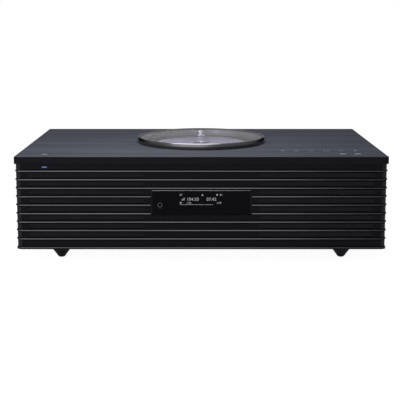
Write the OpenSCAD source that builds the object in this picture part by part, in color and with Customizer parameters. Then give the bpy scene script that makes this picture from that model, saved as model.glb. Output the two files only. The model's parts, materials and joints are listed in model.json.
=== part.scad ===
/* [Case] */
// Width of the top plate, the widest piece
case_w = 450; // [440:1:480]
// Depth of the top plate
case_d = 280; // [276:1:310]
// Height of the ribbed walls
wall_h = 105; // [104:0.5:120]
// Thickness of the ribbed walls
wall_t = 3.1; // [2.5:0.1:3.5]
// Rounding of the front upright edges
corner_r = 6; // [5:0.5:9]
// Run of the front's side returns past the rounding
return_l = 6; // [4:0.5:10]
// Seam between the front and each side panel
seam = 0.3; // [0.2:0.05:0.5]
// How far the plate stands out past the walls
overhang = 1.5; // [1.5:0.1:3]
// Set-back of the side walls from the plate's rear edge
rear_set = 3; // [2:0.5:6]
// Fitting clearance between panels
panel_fit = 0.3; // [0.2:0.05:0.5]

/* [Ribs] */
// Number of ribs
rib_count = 10; // [8:1:10]
// Spacing of the ribs
rib_pitch = 10.4; // [10:0.1:10.6]
// Height of one rib
rib_t = 1.6; // [1.2:0.1:2.2]
// How far a rib stands out from the wall
rib_out = 1.3; // [1:0.1:1.6]
// Plain strip from the wall's top to the first rib's middle
strip_h = 8.9; // [8.5:0.1:10]
// Wall left above and below each sound slot
slot_land = 0.6; // [0.4:0.1:1]
// Rows of sound slots
slot_rows = 8; // [5:1:8]
// Distance of the slots from the display window and the outer corners
slot_edge = 9; // [6:0.5:14]
// Thickness of the speaker cloth
cloth_t = 0.8; // [0.5:0.1:1.2]
// Border of the speaker cloth past the slots
cloth_edge = 2; // [1:0.5:2.5]

/* [Top plate] */
// Height of the plate's edge
plate_edge = 8.5; // [8:0.1:10]
// Thickness of the plate's sheet
sheet_t = 3; // [2:0.1:3.2]
// Width of the plate's downturned rim
rim_w = 4; // [3.5:0.1:4.2]
// Rounding of the plate's corners
plate_r = 2; // [1:0.5:6]

/* [Base and feet] */
// Height of a foot, from the table to the base
foot_h = 23; // [20:0.5:26]
// Distance of a foot from the case's side
foot_side = 48; // [45:0.5:56]
// Distance of a foot from the case's front or rear
foot_end = 50; // [44:0.5:56]
// Radius of a foot's flat tip
foot_tip_r = 3.2; // [3:0.1:4]
// Radius of a foot at the shoulder above its rounded tip
foot_neck_r = 5.2; // [4.6:0.1:5.6]
// Height of that shoulder
foot_neck_z = 3; // [2.5:0.1:4]
// Radius of a foot's top
foot_top_r = 16; // [14:0.5:18]
// Height where the foot's flare ends
foot_flare_z = 14.5; // [13:0.5:17]
// Thickness of the base plate
base_t = 3; // [2.5:0.1:4]
// How far the walls hang below the base plate
lip_h = 1.5; // [1:0.1:2.5]

/* [Rear panel] */
// Thickness of the rear panel
rear_t = 3; // [2.5:0.1:4]
// Recess of the rear panel from the side walls' ends
rear_recess = 9; // [9:0.5:12]
// Width of a fixing tab behind the rear panel
tab_w = 12; // [10:0.5:16]
// Depth of a fixing tab
tab_d = 6; // [5:0.5:8]
// Height of a fixing tab
tab_h = 12; // [10:0.5:13]
// Sideways distance of an inner fixing tab from the middle
tab_x = 50; // [40:1:60]
// Distance of an outer fixing tab from the side wall's inside
tab_side = 14.4; // [10:0.1:20]

/* [Screws] */
// Radius of a screw's thread
screw_r = 1.5; // [1.2:0.1:1.8]
// Radius of a screw's head
screw_head_r = 3.2; // [2.8:0.1:3.6]
// Height of a screw's head
screw_head_h = 1.4; // [1.2:0.1:1.5]
// Clearance of a screw in its hole
screw_fit = 0.1; // [0.05:0.05:0.2]
// Distance of the box screws from the box corners
screw_inset = 14; // [10:1:18]

/* [Display] */
// Width of the display window
display_w = 120; // [112:1:124]
// Height of the display window
display_h = 29.4; // [28:0.2:31]
// Distance from the plate's top down to the window's top edge
display_drop = 40.7; // [40.2:0.1:41.2]
// How far the window stands out past the ribs
display_out = 0.2; // [0.1:0.1:0.5]
// Clearance round the window
window_fit = 0.3; // [0.2:0.05:0.5]
// Gap between the window and the ends of the ribs
rib_end = 1; // [0.6:0.1:1.5]
// Border of the display module past the window
module_edge = 3; // [2:0.5:4]
// Thickness of the display module
module_t = 6; // [5:0.5:7]
// Distance of the headphone socket from the window's left edge
jack_in = 10; // [8:0.5:14]
// Height of the headphone socket above the window's bottom edge
jack_up = 11.4; // [9:0.1:16]
// Radius of the headphone socket's sleeve
jack_r = 3; // [2.8:0.1:3.4]
// Radius of a 3.5 mm plug's bore
plug_r = 1.8; // [1.78:0.01:1.85]
// Depth of a 3.5 mm plug's bore
plug_l = 15; // [14:0.5:16]
// Width and height of a 3.5 mm socket's body
jack_body = 9; // [8:0.5:10]
// Wall behind the headphone plug's bore
jack_wall = 4; // [3:0.5:4.5]
// Width of the status light
led_w = 6.7; // [5:0.1:8]
// Height of the status light
led_h = 1.6; // [1.2:0.1:2]
// Distance of the status light from the case's left edge
led_in = 36.6; // [30:0.1:45]
// Distance of the status light below the wall's top
led_drop = 4.1; // [3:0.1:5]
// Clearance round the status light
led_fit = 0.1; // [0.05:0.05:0.2]
// Length of the status light's guide
led_l = 5; // [4:0.5:8]

/* [Buttons] */
// Radius of a button's cap
button_r = 5.5; // [5:0.1:6]
// Radial clearance of a button in the plate
button_fit = 0.25; // [0.2:0.05:0.4]
// Depth of a button's dish
dish_depth = 0.8; // [0.5:0.1:1.1]
// Radius of a button's retaining flange
button_flange_r = 7; // [6.6:0.1:7.4]
// Thickness of a button's retaining flange
button_flange_t = 1.2; // [1:0.1:1.5]
// Gap between the flange and the plate
button_gap = 0.2; // [0.1:0.05:0.3]
// Travel of a button
button_travel = 0.8; // [0.5:0.1:1]
// Gap left over the switch at full travel
switch_gap = 0.1; // [0.05:0.05:0.2]
// Distance of the power button from the left edge
power_in = 33.1; // [28:0.1:40]
// Distance of the power button from the front edge
power_front = 25.4; // [24:0.1:30]
// Distance of the volume-up button from the right edge
volume_in = 33.4; // [28:0.1:40]
// Spacing of the two volume buttons
volume_pitch = 18.2; // [17:0.1:22]
// Distance of the volume buttons from the front edge
volume_front = 28; // [24:0.1:30]
// Depth of the key board
key_board_d = 26; // [22:0.5:28]
// Distance of the key board from the front edge
key_board_front = 14; // [11:0.5:14]
// Distance of the key board's ends from the case's sides
key_board_side = 20; // [16:0.5:22]
// Thickness of a circuit board
board_t = 1.6; // [1.2:0.1:2]
// Width of a push switch
switch_w = 6; // [5:0.5:7]
// Height of a push switch
switch_h = 1; // [0.8:0.1:1.2]
// Radius of the studs that carry the key board
stud_r = 2.5; // [2:0.1:3]

/* [Lid] */
// Diameter of the lid
lid_d = 169; // [166:0.5:172]
// Height of the lid
lid_h = 7.5; // [7:0.1:9]
// Gap between the lid and the plate
lid_gap = 0.5; // [0.4:0.05:0.8]
// Thickness of the lid's top
lid_t = 3; // [2.5:0.1:3.4]
// Thickness of the lid's rim
lid_rim = 4; // [3:0.1:4.2]
// Bevel round the lid's top edge
lid_bevel = 2; // [1.5:0.1:2.5]
// Distance of the lid's pivot behind its middle
pivot_y = 71; // [70.5:0.1:71.2]
// Diameter of the pivot post
post_d = 17; // [14:0.1:17.2]
// Radius of the pivot's shaft
shaft_r = 4; // [3:0.1:5]
// Running clearance of the shaft in its bush
shaft_fit = 0.05; // [0.03:0.01:0.08]
// Gap between the post and the well's floor
post_gap = 0.3; // [0.2:0.05:0.5]
// Wall of the bush
bush_t = 2.5; // [2:0.1:3]
// Length of the bush below the well's floor
bush_l = 12; // [10:0.5:16]
// Radius of the bush's flange
bush_flange_r = 9; // [8:0.1:9.4]
// Thickness of the bush's flange
bush_flange_t = 2; // [1.5:0.1:3]
// Radius of the nut that holds the shaft
nut_r = 7; // [6.5:0.1:8]
// Height of that nut
nut_h = 4; // [3:0.1:5]

/* [Disc and well] */
// Diameter of the disc
disc_d = 120; // [119:0.5:120]
// Thickness of the disc
disc_t = 1.2; // [1:0.05:1.4]
// Diameter of the disc's hole
disc_hole_d = 15; // [14.5:0.1:15.5]
// Depth of the disc's top below the plate's top
disc_drop = 2.7; // [2.6:0.1:3.2]
// Diameter of the well, as of the plate's hole
well_d = 162; // [161.5:0.1:163]
// Depth of the well's floor below the plate's top
well_depth = 7.5; // [7.2:0.1:8]
// Thickness of the well
well_t = 2.5; // [2:0.1:3]
// Width of the well's flange under the plate
well_flange_w = 6; // [5:0.5:8]

/* [Disc drive] */
// Radius of the turntable under the disc
hub_r = 14; // [12:0.1:15]
// Thickness of the turntable
hub_t = 2; // [1.6:0.1:2.4]
// Height of the hub above the disc
hub_up = 2; // [1.6:0.1:2.1]
// Clearance of the hub in the disc
hub_fit = 0.1; // [0.05:0.01:0.15]
// Radius of the spindle
spindle_r = 1; // [0.8:0.1:1.5]
// Running clearance of a small shaft
bearing_fit = 0.05; // [0.03:0.01:0.08]
// Radius of the spindle motor
spindle_motor_r = 12; // [10:0.1:12.2]
// Height of the spindle motor
spindle_motor_h = 17.5; // [16:0.1:18.5]
// Radius of the hole in the well's floor for the spindle motor
spindle_hole_r = 16.5; // [16:0.1:17]
// Depth of the drive chassis below the well's floor
chassis_drop = 16; // [15.5:0.1:18]
// Thickness of the drive chassis
chassis_t = 3; // [2.5:0.1:4]
// Border of the chassis past the dampers
chassis_edge = 0.5; // [0.5:0.5:4]
// Dampers: left, right and sideways distances from the spindle
damper_at = [36, 66, 34]; // [32:1:68]
// Radius of a damper
damper_r = 5; // [4.5:0.1:5.5]
// Height of a damper
damper_h = 6; // [5:0.1:7]
// Radius of a boss under the well
boss_r = 3.5; // [3:0.1:4]
// Spacing of the guide rods
rod_pitch = 32; // [30:0.5:34]
// Radius of a guide rod
rod_r = 1.5; // [1.2:0.1:1.8]
// Height of the guide rods above the chassis
rod_up = 6; // [5.5:0.1:6.5]
// Inner and outer ends of the guide rods, from the spindle
rod_ends = [7, 80]; // [6:0.5:82]
// Thickness of a rod bracket
bracket_t = 4; // [3:0.1:4.5]
// Material round a bracket's bore
bracket_wall = 2; // [1.6:0.1:2.4]
// Lens distance from the spindle, at rest
lens_x = 24; // [23:0.1:24.5]
// Travel of the sled
sled_travel = 34; // [30:0.5:34]
// Sled length inward and outward of the lens
sled_ends = [9, 14]; // [8:0.1:15]
// Sled width past the guide rods
sled_edge = 2; // [1.5:0.1:2.5]
// Height of the sled
sled_h = 9; // [8:0.1:9.5]
// Gap between the sled and the chassis
sled_gap = 1.5; // [1:0.1:2]
// Width of the lens turret
turret_w = 13; // [11:0.1:14]
// Gap between the lens and the disc
lens_gap = 1.7; // [1.5:0.1:2]
// Height of the lens holder
lens_h = 2.5; // [2:0.1:3]
// Width of the lens holder
lens_w = 10; // [8:0.1:10.5]
// Radius of the lens
lens_r = 3; // [2.5:0.1:3.5]
// Gap between the lens holder and the turret
lens_seat = 0.8; // [0.7:0.05:0.9]
// Clearance of the turret in the well's slot
slot_fit = 2; // [1.5:0.1:2.5]
// Distance of the lead screw from the spindle, towards the rear
screw_line_y = 24.5; // [24:0.1:25]
// Radius of the lead screw
lead_r = 1.5; // [1.2:0.1:1.6]
// Gap between the sled's follower and the lead screw
lead_gap = 0.3; // [0.2:0.05:0.4]
// Radius of the sled motor
sled_motor_r = 5.8; // [5:0.1:5.9]
// Length of the sled motor
sled_motor_l = 24; // [20:0.5:26]
// Outer end of the sled motor, from the spindle
sled_motor_x = 5; // [2:0.5:6]

/* [Speaker boxes] */
// Wall of a speaker box
box_t = 4; // [3:0.1:5]
// Gap between a speaker box and the side wall
box_side_gap = 6; // [4:0.5:7]
// Gap between a speaker box and the front wall
box_front_gap = 9.5; // [9.5:0.1:11]
// Gap between a speaker box and the wall's top
box_head_gap = 10; // [8:0.5:12]
// Depth of a speaker box
box_d = 60.4; // [58:0.2:62]
// Gap between the speaker boxes and the subwoofer's box behind them
box_gap = 1; // [0.5:0.1:2]
// Gap between a driver and its neighbour or the box's edge
driver_gap = 4; // [3:0.1:5]
// Clearance of a driver in its hole
driver_fit = 0.5; // [0.3:0.1:0.8]
// Thickness of a driver's flange
flange_t = 3; // [2.5:0.1:3.5]
// Wall of a driver's basket
basket_t = 1.8; // [1.5:0.1:2.2]
// Thickness of a cone
cone_t = 0.8; // [0.6:0.1:1.2]
// Gap beside a voice coil
coil_gap = 0.6; // [0.5:0.1:0.8]
// Thickness of a voice coil's former
coil_t = 0.6; // [0.4:0.1:0.8]
// Depth of a voice coil in its magnet
coil_l = 8; // [6:0.5:9]
// Height of a cone's neck above the basket's back
cone_neck = 4.5; // [4.4:0.1:6]
// Free room round a cone's surround
surround_fit = 0.4; // [0.3:0.05:0.6]

/* [Woofers] */
// Radius of a woofer's flange
woofer_flange_r = 42; // [40:0.5:43]
// Radius of a woofer's opening
woofer_open_r = 37; // [35:0.5:38]
// Radius of a woofer's cone
woofer_cone_r = 31; // [29:0.5:32]
// Depth of a woofer's basket
woofer_basket_h = 26; // [24:0.5:30]
// Radius of a woofer's magnet
woofer_magnet_r = 28; // [24:0.5:30]
// Height of a woofer's magnet
woofer_magnet_h = 15; // [13:0.5:18]
// Radius of a woofer's voice coil
woofer_coil_r = 12.5; // [11:0.5:14]
// Set-back of a woofer's cone behind its flange's back
woofer_cone_set = 0; // [0:0.1:2]

/* [Tweeters] */
// Radius of a tweeter's face
tweeter_r = 20; // [18:0.5:21]
// Radius of a tweeter's dome
dome_r = 10; // [9:0.5:11]
// Height of a tweeter's dome
dome_h = 4; // [3:0.1:5]
// Depth of a tweeter's magnet
tweeter_h = 16; // [14:0.5:20]
// Wall of a tweeter's magnet
tweeter_t = 4; // [3:0.5:5]

/* [Reflex ports] */
// Inner radius of a reflex port
port_r = 15; // [13:0.5:16]
// Wall of a reflex port
port_t = 2; // [1.5:0.1:2.5]
// Distance of a reflex port from the side wall's inside
port_side = 55.4; // [50:0.1:58]
// Distance of a reflex port below the wall's top
port_drop = 32; // [30:0.5:34]
// Length of a reflex port inside its box
port_in = 18; // [12:1:24]
// Width of a reflex port's outer flange
port_flange_w = 5; // [4:0.5:6]
// Thickness of that flange
port_flange_t = 2; // [1.5:0.1:3]

/* [Subwoofer] */
// Radius of the subwoofer's flange
sub_flange_r = 60; // [58:0.5:62]
// Radius of the subwoofer's opening
sub_open_r = 52; // [50:0.5:54]
// Radius of the subwoofer's cone
sub_cone_r = 43; // [41:0.5:45]
// Depth of the subwoofer's basket
sub_basket_h = 36; // [34:0.5:38]
// Radius of the subwoofer's magnet
sub_magnet_r = 36; // [32:0.5:40]
// Height of the subwoofer's magnet
sub_magnet_h = 15; // [13:0.5:17]
// Radius of the subwoofer's voice coil
sub_coil_r = 16; // [14:0.5:18]
// Set-back of the subwoofer's cone behind its flange
sub_cone_set = 9; // [8.5:0.5:11]
// Wall of the subwoofer's box
sub_box_t = 3; // [2.5:0.1:4]
// Clearance of the subwoofer in its box
sub_box_fit = 1.5; // [1:0.1:2]
// Thickness of the subwoofer's grille
sub_grille_t = 1.2; // [1:0.1:1.4]
// Width of the grille's border on the base
sub_grille_edge = 4; // [3:0.5:6]
// Radius of a grille hole
grille_hole_r = 2.8; // [2.2:0.1:3]
// Spacing of the rings of grille holes
grille_pitch = 9; // [8:0.1:9.2]
// Rings of grille holes
grille_rings = 5; // [3:1:5]

/* [Electronics] */
// Height of the boards above the base
standoff_h = 14; // [14:0.5:16]
// Radius of a board's standoff
standoff_r = 4; // [3:0.1:5]
// Distance of a standoff from the board's edges
standoff_in = 8; // [6:0.5:10]
// Width of the main board and the power supply board
board_w = 136; // [128:1:138]
// Depth of the main board and the power supply board
board_d = 56; // [54:0.5:57]
// Gap between a board and the rear panel
board_rear_gap = 3; // [2:0.5:6]
// Gap between a board and the side wall
board_side_gap = 10; // [8:0.5:14]
// Width, depth and height of the amplifier chip
amp_chip = [30, 18, 3]; // [2:0.5:40]
// Width, depth and height of the heat sink
sink = [60, 34, 24]; // [16:1:70]
// Thickness of the heat sink's base and fins
sink_t = 3; // [2:0.1:4]
// Number of heat sink fins
sink_fins = 8; // [5:1:9]
// Width, depth and height of the wireless module
radio = [26, 18, 4]; // [3:0.5:30]
// Width, depth and height of the transformer
transformer = [36, 30, 26]; // [20:1:40]
// Radius of a capacitor
capacitor_r = 8; // [6:0.5:9]
// Height of a capacitor
capacitor_h = 24; // [18:1:28]
// Spacing of the two capacitors
capacitor_pitch = 19; // [18.5:0.5:24]

/* [Sockets] */
// How far the sockets stand out of the rear panel
socket_out = 1; // [0.5:0.1:2]
// Clearance of a socket in the rear panel
socket_fit = 0.3; // [0.2:0.05:0.5]
// Depth of a board socket
socket_d = 18; // [17:0.5:20]
// Distance of the first board socket from the board's inner edge
socket_in = 20; // [16:0.5:24]
// Spacing of the board sockets
socket_pitch = 24; // [22:0.5:26]
// Width and height of the network socket
network = [16, 13.5]; // [13:0.5:18]
// Width, height and depth of the network socket's cavity
network_hole = [11.8, 8.2, 13]; // [7:0.1:14]
// Width and height of the USB socket
usb = [14.4, 7]; // [6.5:0.1:15]
// Width, height and depth of the USB socket's cavity
usb_hole = [12.5, 5.2, 11]; // [4.8:0.1:13]
// Width and thickness of the USB socket's tongue
usb_tongue = [11, 1.8]; // [1.6:0.1:11.4]
// Set-back of the USB socket's tongue from its mouth
tongue_set = 1; // [0.5:0.1:2]
// Radius of the line-in socket's nose
nose_r = 3.6; // [3.2:0.1:4]
// Radius of the antenna socket's barrel
antenna_r = 4.7; // [4.5:0.1:5]
// Length of the antenna socket's barrel outside the panel
antenna_l = 8; // [6:0.5:8.5]
// Radius of the antenna socket's nut across its corners
antenna_nut_r = 7; // [6.5:0.1:8]
// Height of the antenna socket's nut
antenna_nut_h = 2.5; // [2:0.1:3]
// Height of the antenna socket above the board
antenna_up = 8; // [7.5:0.5:12]
// Width and height of the mains inlet's body
inlet = [28, 18]; // [16:0.5:32]
// Depth of the mains inlet's body
inlet_d = 20; // [18:0.5:24]
// Radius of each half of the mains inlet's figure-eight hole
inlet_hole_r = 4.6; // [4.4:0.1:5]
// Spacing of the mains inlet's pins
inlet_pitch = 8.6; // [8:0.1:9]
// Depth of the mains inlet's hole
inlet_hole_d = 12; // [11:0.5:14]
// Radius of a mains pin
inlet_pin_r = 1.2; // [1:0.1:1.3]
// Length of a mains pin
inlet_pin_l = 9; // [8:0.5:10]
// Distance of the mains inlet from the case's left side
inlet_in = 60; // [50:1:80]
// Height of the mains inlet above the base
inlet_up = 26; // [24:0.5:30]
// Border and thickness of the mains inlet's flange
inlet_flange = [3, 1.5]; // [1:0.1:4]

/* [Hidden] */
$fn = 96;
cut = 1;

// Levels, from the table up
base_z = foot_h;
base_top = base_z + base_t;
wall_z = base_z - lip_h;
wall_top = wall_z + wall_h;
plate_top = wall_top + plate_edge;
sheet_z = plate_top - sheet_t;
lid_z = plate_top + lid_gap;
lid_top = lid_z + lid_h;
well_floor = plate_top - well_depth;
well_under = well_floor - well_t;
disc_top = plate_top - disc_drop;
disc_z = disc_top - disc_t;
hub_z = disc_z - hub_t;
chassis_top = well_under - chassis_drop;
rod_z = chassis_top + rod_up;
sled_z = chassis_top + sled_gap;
lens_top = disc_z - lens_gap;
lens_z = lens_top - lens_h;
turret_top = lens_z - lens_seat;
button_z = sheet_z - button_gap - button_flange_t;
key_board_top = button_z - button_travel - switch_gap - switch_h;
board_z = base_top + standoff_h;
board_top = board_z + board_t;

// Outer and inner faces of the walls
wall_x = case_w / 2 - overhang;
wall_front = -case_d / 2 + overhang;
wall_back = case_d / 2 - rear_set;
in_x = wall_x - wall_t;
in_front = wall_front + wall_t;
return_back = wall_front + corner_r + return_l;
rear_y = wall_back - rear_recess;
rear_in = rear_y - rear_t;
panel_x = in_x - panel_fit;
foot_x = case_w / 2 - foot_side;
foot_y = case_d / 2 - foot_end;

// Display, light and buttons
display_top = plate_top - display_drop;
display_z = display_top - display_h;
display_front = wall_front - rib_out - display_out;
module_back = in_front + module_t;
jack_x = -display_w / 2 + jack_in;
jack_z = display_z + jack_up;
led_x = -case_w / 2 + led_in;
led_z = wall_top - led_drop;
power_at = [-case_w / 2 + power_in, -case_d / 2 + power_front];
volume_up_at = [case_w / 2 - volume_in, -case_d / 2 + volume_front];
volume_down_at = volume_up_at - [volume_pitch, 0];
key_board_x = case_w / 2 - key_board_side;
key_board_y = -case_d / 2 + key_board_front;

// Speakers
sub_box_x = sub_flange_r + sub_box_fit + sub_box_t;
sub_box_h = flange_t + sub_basket_h + basket_t + sub_magnet_h + sub_box_fit + sub_box_t;
box_out = in_x - box_side_gap;
box_front = in_front + box_front_gap;
box_back = box_front + box_d;
box_top = wall_top - box_head_gap;
driver_z = (base_top + box_top) / 2;
tweeter_x = box_out - driver_gap - tweeter_r;
woofer_x = tweeter_x - tweeter_r - driver_gap - woofer_flange_r;
box_in = woofer_x - woofer_flange_r - driver_gap;
sub_y = box_back + box_gap + sub_box_x;
port_x = in_x - port_side;
port_z = wall_top - port_drop;
port_out_r = port_r + port_t;

// Boards and sockets
board_out = in_x - board_side_gap;
board_in = board_out - board_w;
board_back = rear_in - board_rear_gap;
board_front = board_back - board_d;
socket_back = rear_y + socket_out;
socket_x = [for (i = [0:3]) board_in + socket_in + i * socket_pitch];
line_in_z = board_top + jack_body / 2;
antenna_z = board_top + antenna_up;
inlet_x = -case_w / 2 + inlet_in;
inlet_z = base_top + inlet_up;

function rib_z(i) = wall_top - strip_h - i * rib_pitch;
function slot_z(i) = rib_z(i + 1) + rib_t / 2 + slot_land;
slot_h = rib_pitch - rib_t - 2 * slot_land;
slot_x = [display_w / 2 + slot_edge, wall_x - corner_r - slot_edge];

// Flat outlines

module rounded_rect(w, d, r) {
    square([w - 2 * r, d], center = true);
    square([w, d - 2 * r], center = true);
    for (x = [-1, 1], y = [-1, 1])
        translate([x * (w / 2 - r), y * (d / 2 - r)])
            circle(r);
}

// A block with its two front corners rounded
module front_rounded(half_w, front, back, r) {
    intersection() {
        translate([-half_w, front])
            square([2 * half_w, back - front]);
        union() {
            translate([-half_w, front + r])
                square([2 * half_w, back - front]);
            translate([-half_w + r, front])
                square([2 * half_w - 2 * r, r + cut]);
            for (x = [-1, 1])
                translate([x * (half_w - r), front + r])
                    circle(r);
        }
    }
}

// The bent strip of the front and its returns, from a depth inside the wall's face to a height outside it
module front_strip(inside, outside) {
    difference() {
        front_rounded(wall_x + outside, wall_front - outside, return_back, corner_r + outside);
        front_rounded(wall_x - inside, wall_front + inside, return_back + cut, corner_r - inside);
    }
}

// A box given by its low and high corners
module block(low, high) {
    translate(low)
        cube(high - low);
}

module mirrored(side) {
    mirror([side < 0 ? 1 : 0, 0, 0])
        children();
}

// Local +Z points out of the front
module facing_front(x, y, z) {
    translate([x, y, z])
        rotate([90, 0, 0])
            children();
}

// Local +Z points out of the rear
module facing_rear(x, y, z) {
    translate([x, y, z])
        rotate([-90, 0, 0])
            children();
}

// Casing

module top_plate() {
    color("#5d6068")
        difference() {
            union() {
                difference() {
                    translate([0, 0, wall_top])
                        linear_extrude(plate_edge)
                            rounded_rect(case_w, case_d, plate_r);
                    block(
                        [-case_w / 2 + rim_w, -case_d / 2 + rim_w, wall_top - cut],
                        [case_w / 2 - rim_w, case_d / 2 - rim_w, sheet_z]
                    );
                }
                for (x = stud_xs())
                    translate([x, key_board_y + key_board_d / 2, key_board_top])
                        cylinder(h = sheet_z - key_board_top, r = stud_r);
            }
            translate([0, 0, wall_top])
                cylinder(h = plate_edge + cut, d = well_d);
            for (at = [power_at, volume_down_at, volume_up_at])
                translate([at.x, at.y, wall_top])
                    cylinder(h = plate_edge + cut, r = button_r + button_fit);
        }
}

function stud_xs() = [for (i = [-1.5:1:1.5]) i * key_board_x / 2];

module front_grille() {
    color("#1b1a1f")
        difference() {
            union() {
                translate([0, 0, wall_z])
                    linear_extrude(wall_h)
                        front_strip(wall_t, 0);
                for (i = [0:rib_count - 1])
                    translate([0, 0, rib_z(i) - rib_t / 2])
                        linear_extrude(rib_t)
                            front_strip(wall_t / 2, rib_out);
            }
            for (side = [-1, 1], i = [0:slot_rows - 1])
                mirrored(side)
                    block(
                        [slot_x[0], wall_front - cut, slot_z(i)],
                        [slot_x[1], in_front + cut, slot_z(i) + slot_h]
                    );
            block(
                [-display_w / 2 - window_fit, wall_front - cut, display_z - window_fit],
                [display_w / 2 + window_fit, in_front + cut, display_top + window_fit]
            );
            block(
                [-display_w / 2 - rib_end, wall_front - rib_out - cut, display_z - rib_t],
                [display_w / 2 + rib_end, wall_front, display_top + window_fit]
            );
            block(
                [led_x - led_w / 2 - led_fit, wall_front - cut, led_z - led_h / 2 - led_fit],
                [led_x + led_w / 2 + led_fit, in_front + cut, led_z + led_h / 2 + led_fit]
            );
        }
}

module grille_cloth() {
    color("#161519")
        for (side = [-1, 1])
            mirrored(side)
                block(
                    [slot_x[0] - cloth_edge, in_front, slot_z(slot_rows - 1) - cloth_edge],
                    [slot_x[1] + cloth_edge, in_front + cloth_t, slot_z(0) + slot_h + cloth_edge]
                );
}

module side_panel(side) {
    color("#1b1a1f")
        mirrored(side) {
            block([in_x, return_back + seam, wall_z], [wall_x, wall_back, wall_top]);
            for (i = [0:rib_count - 1])
                block(
                    [in_x, return_back + seam, rib_z(i) - rib_t / 2],
                    [wall_x + rib_out, wall_back, rib_z(i) + rib_t / 2]
                );
        }
}

module side_panel_left() { side_panel(-1); }
module side_panel_right() { side_panel(1); }

module rear_panel() {
    color("#1d1c20")
        difference() {
            block([-panel_x, rear_in, base_top], [panel_x, rear_y, sheet_z]);
            for (side = [-1, 1])
                facing_rear(side * port_x, rear_in - cut, port_z)
                    cylinder(h = rear_t + 2 * cut, r = port_out_r + panel_fit);
            rear_cut(socket_x[0], board_top + network.y / 2, network);
            rear_cut(socket_x[1], board_top + usb.y / 2, usb);
            rear_cut(inlet_x, inlet_z, inlet);
            facing_rear(socket_x[2], rear_in - cut, line_in_z)
                cylinder(h = rear_t + 2 * cut, r = nose_r + socket_fit);
            facing_rear(socket_x[3], rear_in - cut, antenna_z)
                cylinder(h = rear_t + 2 * cut, r = antenna_r + socket_fit);
            for (x = tab_xs())
                facing_rear(x, rear_in - cut, tab_z)
                    cylinder(h = rear_t + 2 * cut, r = screw_r + screw_fit);
        }
}

tab_z = base_top + tab_h / 2;
function tab_xs() = [tab_side - in_x, -tab_x, tab_x, in_x - tab_side];

// A window for a socket in the rear panel
module rear_cut(x, z, size) {
    half = size / 2 + [socket_fit, socket_fit];
    block([x - half.x, rear_in - cut, z - half.y], [x + half.x, rear_y + cut, z + half.y]);
}

module base_plate() {
    color("#1a191d")
        difference() {
            union() {
                translate([0, 0, base_z])
                    linear_extrude(base_t)
                        front_rounded(panel_x, in_front + panel_fit, rear_y, corner_r - wall_t);
                for (side = [-1, 1], x = [board_in, board_out], y = [board_front, board_back])
                    standoff(side, x, y);
                for (x = tab_xs())
                    block(
                        [x - tab_w / 2, rear_in - tab_d, base_top - base_t / 2],
                        [x + tab_w / 2, rear_in, base_top + tab_h]
                    );
            }
            translate([0, sub_y, base_z - cut])
                cylinder(h = base_t + 2 * cut, r = sub_open_r);
            for (at = base_screws())
                translate([at.x, at.y, base_z - cut])
                    cylinder(h = base_t + 2 * cut, r = screw_r + screw_fit);
            for (x = tab_xs())
                facing_rear(x, rear_in - tab_d - cut, tab_z)
                    cylinder(h = tab_d + 2 * cut, r = screw_r + screw_fit);
        }
}

// One post under a board's corner
module standoff(side, x, y) {
    inset_x = x == board_in ? standoff_in : -standoff_in;
    inset_y = y == board_front ? standoff_in : -standoff_in;
    translate([side * (x + inset_x), y + inset_y, base_top - base_t / 2])
        cylinder(h = standoff_h + base_t / 2, r = standoff_r);
}

function base_screws() = [
    for (side = [-1, 1], x = [box_in + screw_inset, box_out - screw_inset],
        y = [box_front + screw_inset, box_back - screw_inset]) [side * x, y]
];

module feet() {
    color("#17161b")
        for (x = [-foot_x, foot_x], y = [-foot_y, foot_y])
            translate([x, y, 0])
                rotate_extrude()
                    polygon([
                        [0, 0], [foot_tip_r, 0], [foot_neck_r, foot_neck_z], [foot_top_r, foot_flare_z],
                        [foot_top_r, foot_h], [0, foot_h],
                    ]);
}

// A pan-head screw, its head's underside at the origin and its thread along +Z
module screw(length) {
    cylinder(h = length, r = screw_r);
    translate([0, 0, -screw_head_h])
        cylinder(h = screw_head_h, r = screw_head_r);
}

module case_screws() {
    color("#2b2b2e") {
        for (at = base_screws())
            translate([at.x, at.y, base_z])
                screw(base_t + box_t);
        for (x = tab_xs())
            facing_front(x, rear_y, tab_z)
                screw(rear_t + tab_d);
    }
}

// Display, light and headphone socket

module display_window() {
    color("#0f0f11")
        difference() {
            block([-display_w / 2, display_front, display_z], [display_w / 2, in_front, display_top]);
            facing_front(jack_x, in_front + cut, jack_z)
                cylinder(h = wall_t + rib_out + display_out + 2 * cut, r = jack_r + window_fit);
        }
}

module display_module() {
    color("#2e5a3a")
        difference() {
            block(
                [-display_w / 2 - module_edge, in_front, display_z - module_edge],
                [display_w / 2 + module_edge, module_back, display_top + module_edge]
            );
            facing_front(jack_x, module_back + cut, jack_z)
                cylinder(h = module_t + 2 * cut, r = jack_r + window_fit);
        }
}

module headphone_jack() {
    color("#3b3b40")
        difference() {
            union() {
                facing_front(jack_x, module_back, jack_z)
                    cylinder(h = module_back - display_front, r = jack_r);
                block(
                    [jack_x - jack_body / 2, module_back, jack_z - jack_body / 2],
                    [jack_x + jack_body / 2, display_front + plug_l + jack_wall, jack_z + jack_body / 2]
                );
            }
            facing_front(jack_x, display_front + plug_l, jack_z)
                cylinder(h = plug_l + cut, r = plug_r);
        }
}

module status_led() {
    color("#b9c8f2")
        block(
            [led_x - led_w / 2, wall_front, led_z - led_h / 2],
            [led_x + led_w / 2, wall_front + led_l, led_z + led_h / 2]
        );
}

// Buttons and their board

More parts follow.
